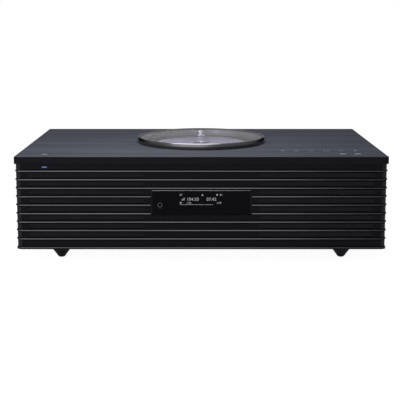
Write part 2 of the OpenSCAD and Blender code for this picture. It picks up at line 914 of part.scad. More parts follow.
// A dished cap with a flange that the plate holds
module button(at) {
    dish_r = (button_r ^ 2 + dish_depth ^ 2) / (2 * dish_depth);
    color("#4b4d55")
        translate([at.x, at.y, button_z])
            difference() {
                union() {
                    cylinder(h = plate_top - button_z, r = button_r);
                    cylinder(h = button_flange_t, r = button_flange_r);
                }
                translate([0, 0, plate_top - button_z - dish_depth + dish_r])
                    sphere(dish_r);
            }
}

module power_button() { button(power_at); }
module volume_down_button() { button(volume_down_at); }
module volume_up_button() { button(volume_up_at); }

module key_board() {
    color("#2e5a3a") {
        block(
            [-key_board_x, key_board_y, key_board_top - board_t],
            [key_board_x, key_board_y + key_board_d, key_board_top]
        );
        for (at = [power_at, volume_down_at, volume_up_at])
            translate([at.x, at.y, key_board_top + switch_h / 2 - board_t / 2])
                cube([switch_w, switch_w, switch_h + board_t], center = true);
    }
}

// Lid and its pivot

module disc_lid() {
    lid_r = lid_d / 2;
    in_r = lid_r - lid_rim;
    color("#c8ccd4", 0.35)
        translate([0, 0, lid_z])
            rotate_extrude()
                polygon([
                    [0, lid_h - lid_t], [in_r, lid_h - lid_t], [in_r, 0], [lid_r, 0],
                    [lid_r, lid_h - lid_bevel], [lid_r - lid_bevel, lid_h], [0, lid_h],
                ]);
}

module pivot_post() {
    post_z = well_floor + post_gap;
    shaft_z = well_under - bush_l - nut_h;
    color("#c9cbd0")
        translate([0, pivot_y, 0]) {
            translate([0, 0, post_z])
                cylinder(h = lid_top - lid_t - post_z, d = post_d);
            translate([0, 0, shaft_z])
                cylinder(h = post_z - shaft_z + cut, r = shaft_r);
        }
}

module pivot_bush() {
    color("#b08d57")
        translate([0, pivot_y, 0])
            difference() {
                union() {
                    translate([0, 0, well_under - bush_l + post_gap])
                        cylinder(h = bush_l - post_gap + well_t, r = shaft_r + bush_t);
                    translate([0, 0, well_under - bush_flange_t])
                        cylinder(h = bush_flange_t, r = bush_flange_r);
                }
                translate([0, 0, well_under - bush_l])
                    cylinder(h = bush_l + well_t + cut, r = shaft_r + shaft_fit);
            }
}

module pivot_nut() {
    color("#9a9ca1")
        translate([0, pivot_y, well_under - bush_l - nut_h])
            difference() {
                cylinder(h = nut_h, r = nut_r, $fn = 6);
                translate([0, 0, -cut])
                    cylinder(h = nut_h + 2 * cut, r = shaft_r + shaft_fit);
            }
}

// Disc, well and drive

module disc_well() {
    well_r = well_d / 2;
    slot_in = lens_x - turret_w / 2 - slot_fit;
    slot_out = lens_x + sled_travel + turret_w / 2 + slot_fit;
    slot_w = turret_w + 2 * slot_fit;
    color("#3a3a3f")
        difference() {
            union() {
                rotate_extrude()
                    polygon([
                        [0, well_under], [well_r + well_t, well_under], [well_r + well_t, sheet_z - well_t],
                        [well_r + well_flange_w, sheet_z - well_t], [well_r + well_flange_w, sheet_z],
                        [well_r, sheet_z], [well_r, well_floor], [0, well_floor],
                    ]);
                for (at = dampers())
                    translate([at.x, at.y, chassis_top + damper_h])
                        cylinder(h = well_under - chassis_top - damper_h + well_t / 2, r = boss_r);
            }
            translate([0, 0, well_under - cut])
                cylinder(h = well_t + 2 * cut, r = spindle_hole_r);
            block([slot_in, -slot_w / 2, well_under - cut], [slot_out, slot_w / 2, well_floor + cut]);
            translate([0, pivot_y, well_under - cut])
                cylinder(h = well_t + 2 * cut, r = shaft_r + bush_t + shaft_fit);
        }
}

function dampers() = [
    for (x = [-damper_at[0], damper_at[1]], y = [-damper_at[2], damper_at[2]]) [x, y]
];

module compact_disc() {
    color("#b9b7c6")
        translate([0, 0, disc_z])
            difference() {
                cylinder(h = disc_t, d = disc_d);
                translate([0, 0, -cut])
                    cylinder(h = disc_t + 2 * cut, d = disc_hole_d);
            }
}

module turntable_hub() {
    spigot_r = disc_hole_d / 2 - hub_fit;
    hub_top = disc_top + hub_up;
    color("#232327")
        rotate_extrude()
            polygon([
                [0, chassis_top], [spindle_r, chassis_top], [spindle_r, hub_z], [hub_r, hub_z],
                [hub_r, disc_z], [spigot_r, disc_z], [spigot_r, disc_top],
                [spigot_r - hub_up, hub_top], [0, hub_top],
            ]);
}

module spindle_motor() {
    color("#8e9096")
        translate([0, 0, chassis_top])
            difference() {
                cylinder(h = spindle_motor_h, r = spindle_motor_r);
                translate([0, 0, -cut])
                    cylinder(h = spindle_motor_h + 2 * cut, r = spindle_r + bearing_fit);
            }
}

module drive_chassis() {
    rod_y = rod_pitch / 2;
    edge = damper_r + chassis_edge;
    bracket_h = rod_z - chassis_top + rod_r + bracket_wall;
    bracket_w = 2 * (rod_r + bracket_wall);
    far_x = rod_ends[1] - bracket_t;
    screw_w = 2 * (lead_r + bracket_wall);
    color("#77797f")
        difference() {
            union() {
                block(
                    [-damper_at[0] - edge, -damper_at[2] - edge, chassis_top - chassis_t],
                    [rod_ends[1], damper_at[2] + edge, chassis_top]
                );
                for (x = [rod_ends[0], far_x], y = [-rod_y, rod_y])
                    translate([x, y - bracket_w / 2, chassis_top - chassis_t / 2])
                        cube([bracket_t, bracket_w, bracket_h + chassis_t / 2]);
                translate([far_x, screw_line_y - screw_w / 2, chassis_top - chassis_t / 2])
                    cube([bracket_t, screw_w, bracket_h + chassis_t / 2]);
            }
            for (y = [-rod_y, rod_y])
                along_x(rod_ends[0] - cut, rod_ends[1] + cut, y, rod_r + bearing_fit);
            along_x(far_x - cut, rod_ends[1] + cut, screw_line_y, lead_r + bearing_fit);
        }
}

// A round bar along X at the height of the guide rods
module along_x(from, to, y, r) {
    translate([from, y, rod_z])
        rotate([0, 90, 0])
            cylinder(h = to - from, r = r);
}

module drive_dampers() {
    color("#202022")
        for (at = dampers())
            translate([at.x, at.y, chassis_top])
                cylinder(h = damper_h, r = damper_r);
}

module guide_rods() {
    color("#c2c4c8")
        for (y = [-rod_pitch / 2, rod_pitch / 2])
            along_x(rod_ends[0], rod_ends[1], y, rod_r);
}

module pickup_sled() {
    half_w = rod_pitch / 2 + rod_r + sled_edge;
    from = lens_x - sled_ends[0];
    to = lens_x + sled_ends[1];
    color("#4a4b50")
        difference() {
            union() {
                block([from, -half_w, sled_z], [to, half_w, sled_z + sled_h]);
                block(
                    [lens_x - turret_w / 2, -turret_w / 2, sled_z + sled_h / 2],
                    [lens_x + turret_w / 2, turret_w / 2, turret_top]
                );
                block(
                    [from, half_w - cut, rod_z - lead_r],
                    [to, screw_line_y - lead_r - lead_gap, rod_z + lead_r]
                );
            }
            for (y = [-rod_pitch / 2, rod_pitch / 2])
                along_x(from - cut, to + cut, y, rod_r + bearing_fit);
        }
}

module objective_lens() {
    color("#8aa0c8") {
        translate([lens_x, 0, lens_z + lens_h / 4])
            cube([lens_w, lens_w, lens_h / 2], center = true);
        translate([lens_x, 0, lens_z])
            cylinder(h = lens_h, r = lens_r);
    }
}

module sled_motor() {
    middle = sled_motor_x - sled_motor_l / 2;
    color("#a7a9ae")
        difference() {
            along_x(sled_motor_x - sled_motor_l, sled_motor_x, screw_line_y, sled_motor_r);
            along_x(middle, sled_motor_x + cut, screw_line_y, lead_r + bearing_fit);
        }
}

module lead_screw() {
    middle = sled_motor_x - sled_motor_l / 2;
    color("#cfd0d4")
        along_x(middle + lead_gap, rod_ends[1], screw_line_y, lead_r);
}

// Speakers

// A driver's frame: flange at local Z 0 and up, basket below
module driver_frame(flange_r, open_r, basket_h, magnet_r, coil_r, cone_set) {
    rim_h = cone_set + basket_t + flange_t;
    back_r = coil_r + coil_gap + coil_t;
    difference() {
        rotate_extrude()
            polygon([
                [open_r, flange_t], [flange_r, flange_t], [flange_r, 0], [open_r + basket_t, 0],
                [open_r + basket_t, -rim_h], [magnet_r, -basket_h], [magnet_r, -basket_h - basket_t],
                [back_r, -basket_h - basket_t], [back_r, -basket_h], [magnet_r - basket_t, -basket_h],
                [open_r, -rim_h],
            ]);
        for (angle = [45, 135])
            rotate(angle)
                translate([0, 0, -(rim_h + basket_h) / 2])
                    cube([2 * flange_r, magnet_r - back_r, (basket_h - rim_h) / 2], center = true);
    }
}

// A driver's magnet, with the ring gap that the voice coil moves in
module driver_magnet(basket_h, magnet_r, magnet_h, coil_r) {
    pole_r = coil_r - coil_t - coil_gap;
    gap_r = coil_r + coil_gap;
    top = -basket_h - basket_t;
    bottom = top - magnet_h;
    rotate_extrude()
        polygon([
            [0, bottom], [magnet_r, bottom], [magnet_r, top], [gap_r, top],
            [gap_r, bottom + basket_t], [pole_r, bottom + basket_t], [pole_r, top], [0, top],
        ]);
}

// A driver's moving part: cone, voice coil, dust cap and surround roll
module driver_cone(open_r, cone_r, basket_h, coil_r, cone_set) {
    neck_r = coil_r - coil_t;
    neck_z = -basket_h + cone_neck;
    edge_z = -cone_set;
    coil_z = -basket_h - basket_t - coil_l;
    cap_r = coil_r + coil_t;
    cap_z = neck_z + coil_l;
    roll_r = (open_r - surround_fit - cone_r + cone_t) / 2;
    rotate_extrude() {
        polygon([
            [neck_r, neck_z], [cone_r, edge_z - cone_t], [cone_r, edge_z], [neck_r, neck_z + 2 * cone_t],
        ]);
        translate([neck_r, coil_z])
            square([coil_t, neck_z - coil_z + cone_t]);
        polygon([[0, cap_z], [cap_r, neck_z + cone_t], [cap_r, neck_z + 3 * cone_t], [0, cap_z + cone_t]]);
        translate([cone_r - cone_t + roll_r, edge_z - cone_t])
            difference() {
                circle(roll_r);
                circle(roll_r - cone_t);
                translate([-2 * roll_r, -2 * roll_r])
                    square([4 * roll_r, 2 * roll_r]);
            }
    }
}

module woofer_frame(side) {
    color("#2a2a2d")
        at_woofer(side)
            driver_frame(
                woofer_flange_r, woofer_open_r, woofer_basket_h,
                woofer_magnet_r, woofer_coil_r, woofer_cone_set
            );
}

module woofer_magnet(side) {
    color("#55565a")
        at_woofer(side)
            driver_magnet(woofer_basket_h, woofer_magnet_r, woofer_magnet_h, woofer_coil_r);
}

module woofer_cone(side) {
    color("#3c3c40")
        at_woofer(side)
            driver_cone(woofer_open_r, woofer_cone_r, woofer_basket_h, woofer_coil_r, woofer_cone_set);
}

module at_woofer(side) {
    facing_front(side * woofer_x, box_front, driver_z)
        children();
}

module woofer_frame_left() { woofer_frame(-1); }
module woofer_frame_right() { woofer_frame(1); }
module woofer_magnet_left() { woofer_magnet(-1); }
module woofer_magnet_right() { woofer_magnet(1); }
module woofer_cone_left() { woofer_cone(-1); }
module woofer_cone_right() { woofer_cone(1); }

module subwoofer_frame() {
    color("#2a2a2d")
        at_subwoofer()
            driver_frame(sub_flange_r, sub_open_r, sub_basket_h, sub_magnet_r, sub_coil_r, sub_cone_set);
}

module subwoofer_magnet() {
    color("#55565a")
        at_subwoofer()
            driver_magnet(sub_basket_h, sub_magnet_r, sub_magnet_h, sub_coil_r);
}

module subwoofer_cone() {
    color("#3c3c40")
        at_subwoofer()
            driver_cone(sub_open_r, sub_cone_r, sub_basket_h, sub_coil_r, sub_cone_set);
}

module at_subwoofer() {
    translate([0, sub_y, base_top + flange_t])
        rotate([180, 0, 0])
            children();
}

module tweeter_body(side) {
    hole_r = dome_r + coil_gap;
    pole_r = dome_r - coil_t - coil_gap;
    cup_r = hole_r + tweeter_t;
    floor_z = tweeter_t - tweeter_h;
    color("#2a2a2d")
        facing_front(side * tweeter_x, box_front, driver_z)
            rotate_extrude()
                polygon([
                    [0, -tweeter_h], [cup_r, -tweeter_h], [cup_r, 0], [tweeter_r, 0],
                    [tweeter_r, flange_t], [hole_r + flange_t, flange_t], [hole_r, 0],
                    [hole_r, floor_z], [pole_r, floor_z], [pole_r, -coil_gap], [0, -coil_gap],
                ]);
}

module tweeter_dome(side) {
    ball_r = (dome_r ^ 2 + dome_h ^ 2) / (2 * dome_h);
    color("#8f9094")
        facing_front(side * tweeter_x, box_front, driver_z) {
            difference() {
                translate([0, 0, dome_h - ball_r + coil_gap])
                    sphere(ball_r);
                translate([0, 0, dome_h - ball_r + coil_gap - coil_t])
                    sphere(ball_r);
                translate([0, 0, coil_gap - 2 * ball_r])
                    cylinder(h = 2 * ball_r, r = 2 * ball_r);
            }
            translate([0, 0, -coil_l])
                difference() {
                    cylinder(h = coil_l + coil_gap + coil_t / 2, r = dome_r);
                    translate([0, 0, -cut])
                        cylinder(h = coil_l + coil_gap + coil_t + 2 * cut, r = dome_r - coil_t);
                }
        }
}

module tweeter_body_left() { tweeter_body(-1); }
module tweeter_body_right() { tweeter_body(1); }
module tweeter_dome_left() { tweeter_dome(-1); }
module tweeter_dome_right() { tweeter_dome(1); }

module speaker_box(side) {
    color("#38332c")
        difference() {
            mirrored(side)
                difference() {
                    block([box_in, box_front, base_top], [box_out, box_back, box_top]);
                    block(
                        [box_in + box_t, box_front + box_t, base_top + box_t],
                        [box_out - box_t, box_back - box_t, box_top - box_t]
                    );
                }
            facing_front(side * woofer_x, box_front + box_t + cut, driver_z)
                cylinder(h = box_t + 2 * cut, r = woofer_open_r + basket_t + driver_fit);
            facing_front(side * tweeter_x, box_front + box_t + cut, driver_z)
                cylinder(h = box_t + 2 * cut, r = dome_r + coil_gap + tweeter_t + driver_fit);
            facing_rear(side * port_x, box_back - box_t - cut, port_z)
                cylinder(h = box_t + 2 * cut, r = port_out_r + panel_fit);
            for (at = base_screws())
                translate([at.x, at.y, base_top - cut])
                    cylinder(h = box_t + 2 * cut, r = screw_r + screw_fit);
        }
}

module speaker_box_left() { speaker_box(-1); }
module speaker_box_right() { speaker_box(1); }

module reflex_port(side) {
    length = rear_y - box_back + box_t + port_in;
    flange_r = port_out_r + port_flange_w;
    end = length + port_flange_t;
    color("#202023")
        facing_rear(side * port_x, rear_y - length, port_z)
            rotate_extrude()
                polygon([
                    [port_r, 0], [port_out_r, 0], [port_out_r, length], [flange_r, length],
                    [flange_r, end], [port_out_r, end], [port_r, length],
                ]);
}

module reflex_port_left() { reflex_port(-1); }
module reflex_port_right() { reflex_port(1); }

module subwoofer_box() {
    half = sub_box_x;
    inner = sub_box_x - sub_box_t;
    color("#38332c")
        translate([0, sub_y, base_top])
            difference() {
                block([-half, -half, 0], [half, half, sub_box_h]);
                block([-inner, -inner, -cut], [inner, inner, sub_box_h - sub_box_t]);
            }
}

module subwoofer_grille() {
    color("#1c1b1f")
        translate([0, sub_y, base_z - sub_grille_t])
            difference() {
                cylinder(h = sub_grille_t, r = sub_open_r + sub_grille_edge);
                for (ring = [0:grille_rings], i = [0:max(0, 6 * ring - 1)])
                    rotate(ring == 0 ? 0 : 60 * i / ring)
                        translate([ring * grille_pitch, 0, -cut])
                            cylinder(h = sub_grille_t + 2 * cut, r = grille_hole_r, $fn = 24);
            }
}

// Electronics

module board(side) {
    mirrored(side)
        block([board_in, board_front, board_z], [board_out, board_back, board_top]);
}

// A component that stands on a board, its foot sunk into the board
module on_board(x, y, size) {
    translate([x - size.x / 2, y - size.y / 2, board_top - board_t / 2])
        cube(size + [0, 0, board_t / 2]);
}

amp_at = [board_in + standoff_in + sink.x / 2, board_front + standoff_in + sink.y / 2];

module main_board() {
    color("#2e5a3a") {
        board(1);
        on_board(amp_at.x, amp_at.y, amp_chip);
        on_board(board_out - 2 * standoff_in - radio.x / 2, amp_at.y, radio);
    }
}

module heat_sink() {
    low = [amp_at.x - sink.x / 2, amp_at.y - sink.y / 2, board_top + amp_chip.z];
    step = (sink.x - sink_t) / (sink_fins - 1);
    color("#5a5c62") {
        block(low, low + [sink.x, sink.y, sink_t]);
        for (i = [0:sink_fins - 1])
            translate(low + [i * step, 0, 0])
                cube([sink_t, sink.y, sink.z]);
    }
}

module power_supply() {
    centre = -(board_in + board_out) / 2;
    line_y = board_front + standoff_in + transformer.y / 2;
    color("#6b5a35") {
        board(-1);
        on_board(centre, line_y, transformer);
        for (i = [1, 2])
            translate([centre + transformer.x / 2 + i * capacitor_pitch, line_y, board_top - board_t / 2])
                cylinder(h = capacitor_h + board_t / 2, r = capacitor_r);
    }
}

// Sockets

module mains_inlet() {
    flange = inlet / 2 + [inlet_flange[0], inlet_flange[0]];
    color("#161618") {
        difference() {
            union() {
                block(
                    [inlet_x - inlet.x / 2, rear_y - inlet_d, inlet_z - inlet.y / 2],
                    [inlet_x + inlet.x / 2, rear_y + inlet_flange[1], inlet_z + inlet.y / 2]
                );
                block(
                    [inlet_x - flange.x, rear_y, inlet_z - flange.y],
                    [inlet_x + flange.x, rear_y + inlet_flange[1], inlet_z + flange.y]
                );
            }
            facing_rear(inlet_x, rear_y + inlet_flange[1] - inlet_hole_d, inlet_z)
                linear_extrude(inlet_hole_d + cut) {
                    square([inlet_pitch, 2 * inlet_hole_r], center = true);
                    for (x = [-inlet_pitch / 2, inlet_pitch / 2])
                        translate([x, 0])
                            circle(inlet_hole_r);
                }
        }
        for (x = [-inlet_pitch / 2, inlet_pitch / 2])
            facing_rear(inlet_x + x, rear_y + inlet_flange[1] - inlet_hole_d - cut, inlet_z)
                cylinder(h = inlet_pin_l + cut, r = inlet_pin_r);
    }
}

// A board socket's body with its cavity
module socket_shell(x, size, hole) {
    z = board_top + size.y / 2;
    difference() {
        block(
            [x - size.x / 2, socket_back - socket_d, board_top],
            [x + size.x / 2, socket_back, board_top + size.y]
        );
        block(
            [x - hole.x / 2, socket_back - hole.z, z - hole.y / 2],
            [x + hole.x / 2, socket_back + cut, z + hole.y / 2]
        );
    }
}

module network_socket() {
    color("#9d9fa3")
        socket_shell(socket_x[0], network, network_hole);
}

module usb_socket() {
    z = board_top + usb.y / 2;
    color("#9d9fa3") {
        socket_shell(socket_x[1], usb, usb_hole);
        block(
            [socket_x[1] - usb_tongue[0] / 2, socket_back - usb_hole.z - cut, z - usb_tongue[1] / 2],
            [socket_x[1] + usb_tongue[0] / 2, socket_back - tongue_set, z + usb_tongue[1] / 2]
        );
    }
}

module line_in_socket() {
    x = socket_x[2];
    color("#202024")
        difference() {
            union() {
                block(
                    [x - jack_body / 2, socket_back - socket_d, board_top],
                    [x + jack_body / 2, rear_in - socket_fit, board_top + jack_body]
                );
                facing_rear(x, rear_in - cut, line_in_z)
                    cylinder(h = socket_back - rear_in + cut, r = nose_r);
            }
            facing_rear(x, socket_back - plug_l, line_in_z)
                cylinder(h = plug_l + cut, r = plug_r);
        }
}

module antenna_socket() {
    color("#b3a06a") {
        facing_rear(socket_x[3], rear_in - antenna_nut_h, antenna_z) {
            cylinder(h = antenna_nut_h + rear_t + antenna_l, r = antenna_r);
            cylinder(h = antenna_nut_h, r = antenna_nut_r);
        }
        facing_rear(socket_x[3], rear_y, antenna_z)
            cylinder(h = antenna_nut_h, r = antenna_nut_r, $fn = 6);
    }
}

top_plate();
front_grille();
grille_cloth();
side_panel_left();
side_panel_right();
rear_panel();
base_plate();
feet();
case_screws();
display_window();
display_module();
headphone_jack();
status_led();
power_button();
volume_down_button();
volume_up_button();
key_board();
disc_lid();
pivot_post();
pivot_bush();
pivot_nut();
disc_well();
compact_disc();
turntable_hub();
spindle_motor();
drive_chassis();
drive_dampers();
guide_rods();
pickup_sled();
objective_lens();
sled_motor();
lead_screw();
speaker_box_left();
speaker_box_right();
woofer_frame_left();
woofer_frame_right();
woofer_magnet_left();
woofer_magnet_right();
woofer_cone_left();
woofer_cone_right();
tweeter_body_left();
tweeter_body_right();
tweeter_dome_left();
tweeter_dome_right();
reflex_port_left();
reflex_port_right();
subwoofer_frame();
subwoofer_magnet();
subwoofer_cone();
subwoofer_box();
subwoofer_grille();
main_board();
heat_sink();
power_supply();
mains_inlet();
network_socket();
usb_socket();
line_in_socket();
antenna_socket();
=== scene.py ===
"""An all-in-one stereo system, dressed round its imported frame. Sizes are in millimetres, unless said."""

import json
import math
from collections import namedtuple

import bmesh
import bpy
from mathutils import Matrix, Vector
from mathutils.geometry import tessellate_polygon


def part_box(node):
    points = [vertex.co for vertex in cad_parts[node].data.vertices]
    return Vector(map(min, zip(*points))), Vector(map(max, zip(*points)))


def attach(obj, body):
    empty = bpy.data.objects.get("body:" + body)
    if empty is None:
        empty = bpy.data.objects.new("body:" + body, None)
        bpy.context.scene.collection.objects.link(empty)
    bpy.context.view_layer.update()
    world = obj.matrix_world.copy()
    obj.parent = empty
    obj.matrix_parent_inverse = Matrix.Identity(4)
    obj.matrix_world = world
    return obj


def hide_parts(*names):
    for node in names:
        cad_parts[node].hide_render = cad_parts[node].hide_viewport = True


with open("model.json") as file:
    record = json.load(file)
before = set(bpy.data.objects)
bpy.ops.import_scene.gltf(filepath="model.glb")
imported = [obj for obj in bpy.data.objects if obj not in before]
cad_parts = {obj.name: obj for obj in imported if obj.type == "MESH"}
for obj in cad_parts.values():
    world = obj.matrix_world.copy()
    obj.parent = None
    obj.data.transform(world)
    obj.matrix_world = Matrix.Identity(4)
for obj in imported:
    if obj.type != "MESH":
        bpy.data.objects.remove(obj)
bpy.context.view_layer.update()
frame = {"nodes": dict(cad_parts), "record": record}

MM = 0.001

Point = namedtuple("Point", "x y z")
Box = namedtuple("Box", "low high middle size")


def packed(name):
    """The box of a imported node, in millimetres to four places."""
    low, high = [Point(*[round(c / MM, 4) for c in corner]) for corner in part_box(name)]
    middle = Point(*[round((a + b) / 2, 4) for a, b in zip(low, high)])
    size = Point(*[round(b - a, 4) for a, b in zip(low, high)])
    return Box(low, high, middle, size)


# Case
PLATE_BOX = packed("top_plate")
FRONT_BOX = packed("front_grille")
CASE_W = PLATE_BOX.size.x
CASE_D = PLATE_BOX.size.y
PLATE_TOP = PLATE_BOX.high.z
SHEET_LOW = packed("disc_well").high.z  # underside of the plate's sheet, on the well's rim
WALL_TOP = PLATE_BOX.low.z
WALL_LOW = FRONT_BOX.low.z
SIDE_INSET = 1.2  # from the plate's side edges in to the side walls
FRONT_INSET = 1.5  # from the plate's front edge back to the front wall
WALL_X = CASE_W / 2 - SIDE_INSET
WALL_FRONT = FRONT_INSET - CASE_D / 2
WALL_BACK = packed("side_panel_left").high.y
WALL_T = 3.1
CORNER_R = 6.0
RETURN_BACK = FRONT_BOX.high.y  # where the front's returns end
SEAM = 0.3  # between a return and a side wall
PLATE_R = 2.0
PLATE_RIM = 4.0
PLATE_RIM_R = 0.5
PLATE_CHAMFER = 0.25

# Ribs and sound slots
RIB_COUNT = 10
STRIP_H = 8.9  # from the plate's rim down to the middle of the first rib
RIB_Z = WALL_TOP - STRIP_H
RIB_PITCH = 10.4
RIB_OUT = 1.2
RIB_HALF = 0.8
RIB_LEAN = math.radians(14)
RIB_EDGE = 0.2
RIB_ROOT = 0.3  # how far a rib reaches into the wall
LAST_RIB_DROP = 0.6
GROOVE_H = 1.2
GROOVE_D = 2.2
SLOT_ROWS = 8
SLOT_X = (69.0, 208.5)
SLOT_EDGE = 1.4  # from a rib's middle to a slot
CUT_OUT = 4.0  # reach of a cutter in front of the wall
CUT_IN = 6.0  # reach of a cutter behind the wall's face

# Display
WINDOW_BOX = packed("display_window")
PICTURE_ROOM = 0.05  # how far the window's face is set back for its picture
PICTURE_LIFT = 0.04  # from the window's face out to its picture
WINDOW_W = WINDOW_BOX.size.x
WINDOW_Z = (WINDOW_BOX.low.z, WINDOW_BOX.high.z)
WINDOW_FRONT = WINDOW_BOX.low.y + PICTURE_ROOM
WINDOW_BACK = WINDOW_BOX.high.y
WINDOW_GAP = 0.3
WINDOW_R = 0.8
WINDOW_CHAMFER = 0.45
RIB_GAP = 1.0  # between the window and the ends of the ribs
JACK_BOX = packed("headphone_jack")
JACK = (JACK_BOX.middle.x, JACK_BOX.middle.z)
JACK_R = 3.0

# Status light
LED_BOX = packed("status_led")
LED = (LED_BOX.middle.x, LED_BOX.middle.z)
LED_SIZE = (LED_BOX.size.x, LED_BOX.size.z)
LED_R = 0.75
LED_STEM = 4.0
LED_GAP = 0.1
LED_BEZEL = (11.0, 3.4)
LED_BEZEL_R = 1.6
LED_BEZEL_OUT = 0.1
LED_GLOW_EDGE = (0.9, 0.3)  # how much narrower and lower the lit face is
LED_GLOW_R = 0.5
LED_GLOW_OUT = 0.3

# Buttons and touch marks on the plate
BUTTONS = {name: packed(name + "_button").middle[:2] for name in ("power", "volume_down", "volume_up")}
BUTTON_R = 5.5
BUTTON_GAP = 0.35
TOUCH_X = (101.7, 119.0, 137.9, 156.1, 174.3, 193.2)
TOUCH_Y = -85.8
TOUCH_LIFT = 0.02  # from the plate up to the print

# Lid, disc and hub
LID_BOX = packed("disc_lid")
LID_GAP = 0.1  # between the plate and the lid
LID_R = LID_BOX.high.x
LID_LOW = PLATE_TOP + LID_GAP
LID_TOP = LID_BOX.high.z
LID_T = 3.0
LID_RIM = 4.0  # thickness of the lid's side
LID_WALL = 3.8  # height of the upright part of the lid's side
LID_LEAN = 0.7  # how far the lid's side leans in above that
LID_EDGE = 0.6
POST_BOX = packed("pivot_post")
POST_GAP = 0.3  # between the bush and the post's flange
PIVOT_Y = POST_BOX.middle.y
POST_R = POST_BOX.size.x / 2
POST_LOW = packed("pivot_bush").high.z + POST_GAP
POST_FLANGE = 5.6  # height of the flange
POST_NECK = (7.6, 6.7)  # the neck's radius at the flange and under the lid
WELL_R = 81.0
DISC_BOX = packed("compact_disc")
DISC_R = DISC_BOX.high.x
DISC_Z = (DISC_BOX.low.z, DISC_BOX.high.z)
DISC_HOLE_R = 7.5
HUB_BOX = packed("turntable_hub")

# Feet
FOOT_AT = (177.0, 90.0)
FOOT_H = packed("feet").high.z
FOOT_R = 16.0

# Straight steps of a round piece: small, middling and large
SMALL_ROUND = 48
ROUND = 64
LARGE_ROUND = 192


# Mesh helpers


def upright(p):
    """Local +Z stays up."""
    return p


def to_front(p):
    """Local +Z points out of the front."""
    return (p[0], -p[2], p[1])


class Shape:
    """Vertices in millimetres and faces, each face with the number of its material."""

    def __init__(self):
        self.verts = []
        self.faces = []
        self.marks = []

    def add(self, verts, faces, mark=0, turn=upright, at=(0, 0, 0)):
        base = len(self.verts)
        for v in verts:
            t = turn(v)
            self.verts.append((t[0] + at[0], t[1] + at[1], t[2] + at[2]))
        marks = mark if isinstance(mark, list) else [mark] * len(faces)
        self.faces += [[base + i for i in f] for f in faces]
        self.marks += marks
        return self


def lathe(profile, segments, closed=False):
    """A profile of (radius, height) pairs turned round Z. A closed one comes back to its first pair."""
    verts = []
    rows = []
    for r, z in profile:
        if r == 0:
            rows.append([len(verts)] * segments)
            verts.append((0, 0, z))
            continue
        rows.append(list(range(len(verts), len(verts) + segments)))
        for i in range(segments):
            a = 2 * math.pi * i / segments
            verts.append((r * math.cos(a), r * math.sin(a), z))
    pairs = list(zip(rows, rows[1:]))
    if closed:
        pairs.append((rows[-1], rows[0]))
    faces = []
    for low, high in pairs:
        for i in range(segments):
            j = (i + 1) % segments
            face = list(dict.fromkeys([low[i], low[j], high[j], high[i]]))
            if len(face) > 2:
                faces.append(face)
    return verts, faces


def by_row(marks, segments):
    """The material numbers of a lathe's faces, from one number for each pair of its profile's points."""
    return [mark for mark in marks for _ in range(segments)]


def block(low, high):
    """A box between two corners."""
    xs, ys, zs = zip(low, high)
    verts = [(x, y, z) for x in xs for y in ys for z in zs]
    faces = [[0, 1, 3, 2], [4, 6, 7, 5], [0, 4, 5, 1], [2, 3, 7, 6], [0, 2, 6, 4], [1, 5, 7, 3]]
    return verts, faces


def rounded_rect(w, d, r, steps=8):
    """A function of inset that gives the outline of a rounded rectangle."""

    def outline(inset):
        radius = max(r - inset, 0.01)
        points = []
        for cx, cy, start in ((1, 1, 0), (-1, 1, 90), (-1, -1, 180), (1, -1, 270)):
            for i in range(steps + 1):
                a = math.radians(start + 90 * i / steps)
                x = cx * (w / 2 - inset - radius) + radius * math.cos(a)
                y = cy * (d / 2 - inset - radius) + radius * math.sin(a)
                points.append((x, y))
        return points

    return outline


def round_hole(at, r, segments=ROUND):
    """A function of inset that gives the outline of a hole, which widens with the inset."""

    def outline(inset):
        turn = [2 * math.pi * i / segments for i in range(segments)]
        return [(at[0] + (r + inset) * math.cos(a), at[1] + (r + inset) * math.sin(a)) for a in turn]

    return outline


def slab(outlines, low, high, chamfer):
    """A flat solid with an outer outline and holes, its upper edges chamfered."""
    verts = []
    faces = []
    caps = []
    for outline in outlines:
        rings = []
        for inset, z in ((0, low), (0, high - chamfer), (chamfer, high)):
            points = outline(inset)
            rings.append(list(range(len(verts), len(verts) + len(points))))
            verts += [(x, y, z) for x, y in points]
        count = len(rings[0])
        for a, b in zip(rings, rings[1:]):
            for i in range(count):
                j = (i + 1) % count
                faces.append([a[i], a[j], b[j], b[i]])
        caps.append((rings[0], rings[-1]))
    for level in (0, 1):
        loops = [cap[level] for cap in caps]
        flat = [i for loop in loops for i in loop]
        for tri in tessellate_polygon([[Vector(verts[i]) for i in loop] for loop in loops]):
            faces.append([flat[i] for i in tri])
    return verts, faces


def sweep(path, profile, marks):
    """A closed profile of (out, height) pairs along a path(out), with a mark for each of its sides."""
    rows = [path(out) for out, _ in profile]
    steps = len(rows[0])
    count = len(profile)
    verts = [(rows[i][j][0], rows[i][j][1], profile[i][1]) for j in range(steps) for i in range(count)]
    faces = [list(range(count)), list(range((steps - 1) * count, steps * count))]
    for j in range(steps - 1):
        for i in range(count):
            k = (i + 1) % count
            faces.append([j * count + i, j * count + k, (j + 1) * count + k, (j + 1) * count + i])
    return verts, faces, [0, 0] + list(marks) * (steps - 1)


def piece(name, shape, materials, body, stands_for=(), sharp=35, origin=(0, 0, 0)):
    """Makes a mesh object of a shape, and lets it ride on a body."""
    mesh = bpy.data.meshes.new(name)
    mesh.from_pydata([tuple(MM * c for c in v) for v in shape.verts], [], shape.faces)
    mesh.polygons.foreach_set("material_index", shape.marks)
    for material in materials:
        mesh.materials.append(material)
    tidy(mesh, sharp)
    obj = bpy.data.objects.new(name, mesh)
    obj.location = [MM * c for c in origin]
    bpy.context.scene.collection.objects.link(obj)
    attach(obj, body)
    if stands_for:
        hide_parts(*stands_for)
    return obj


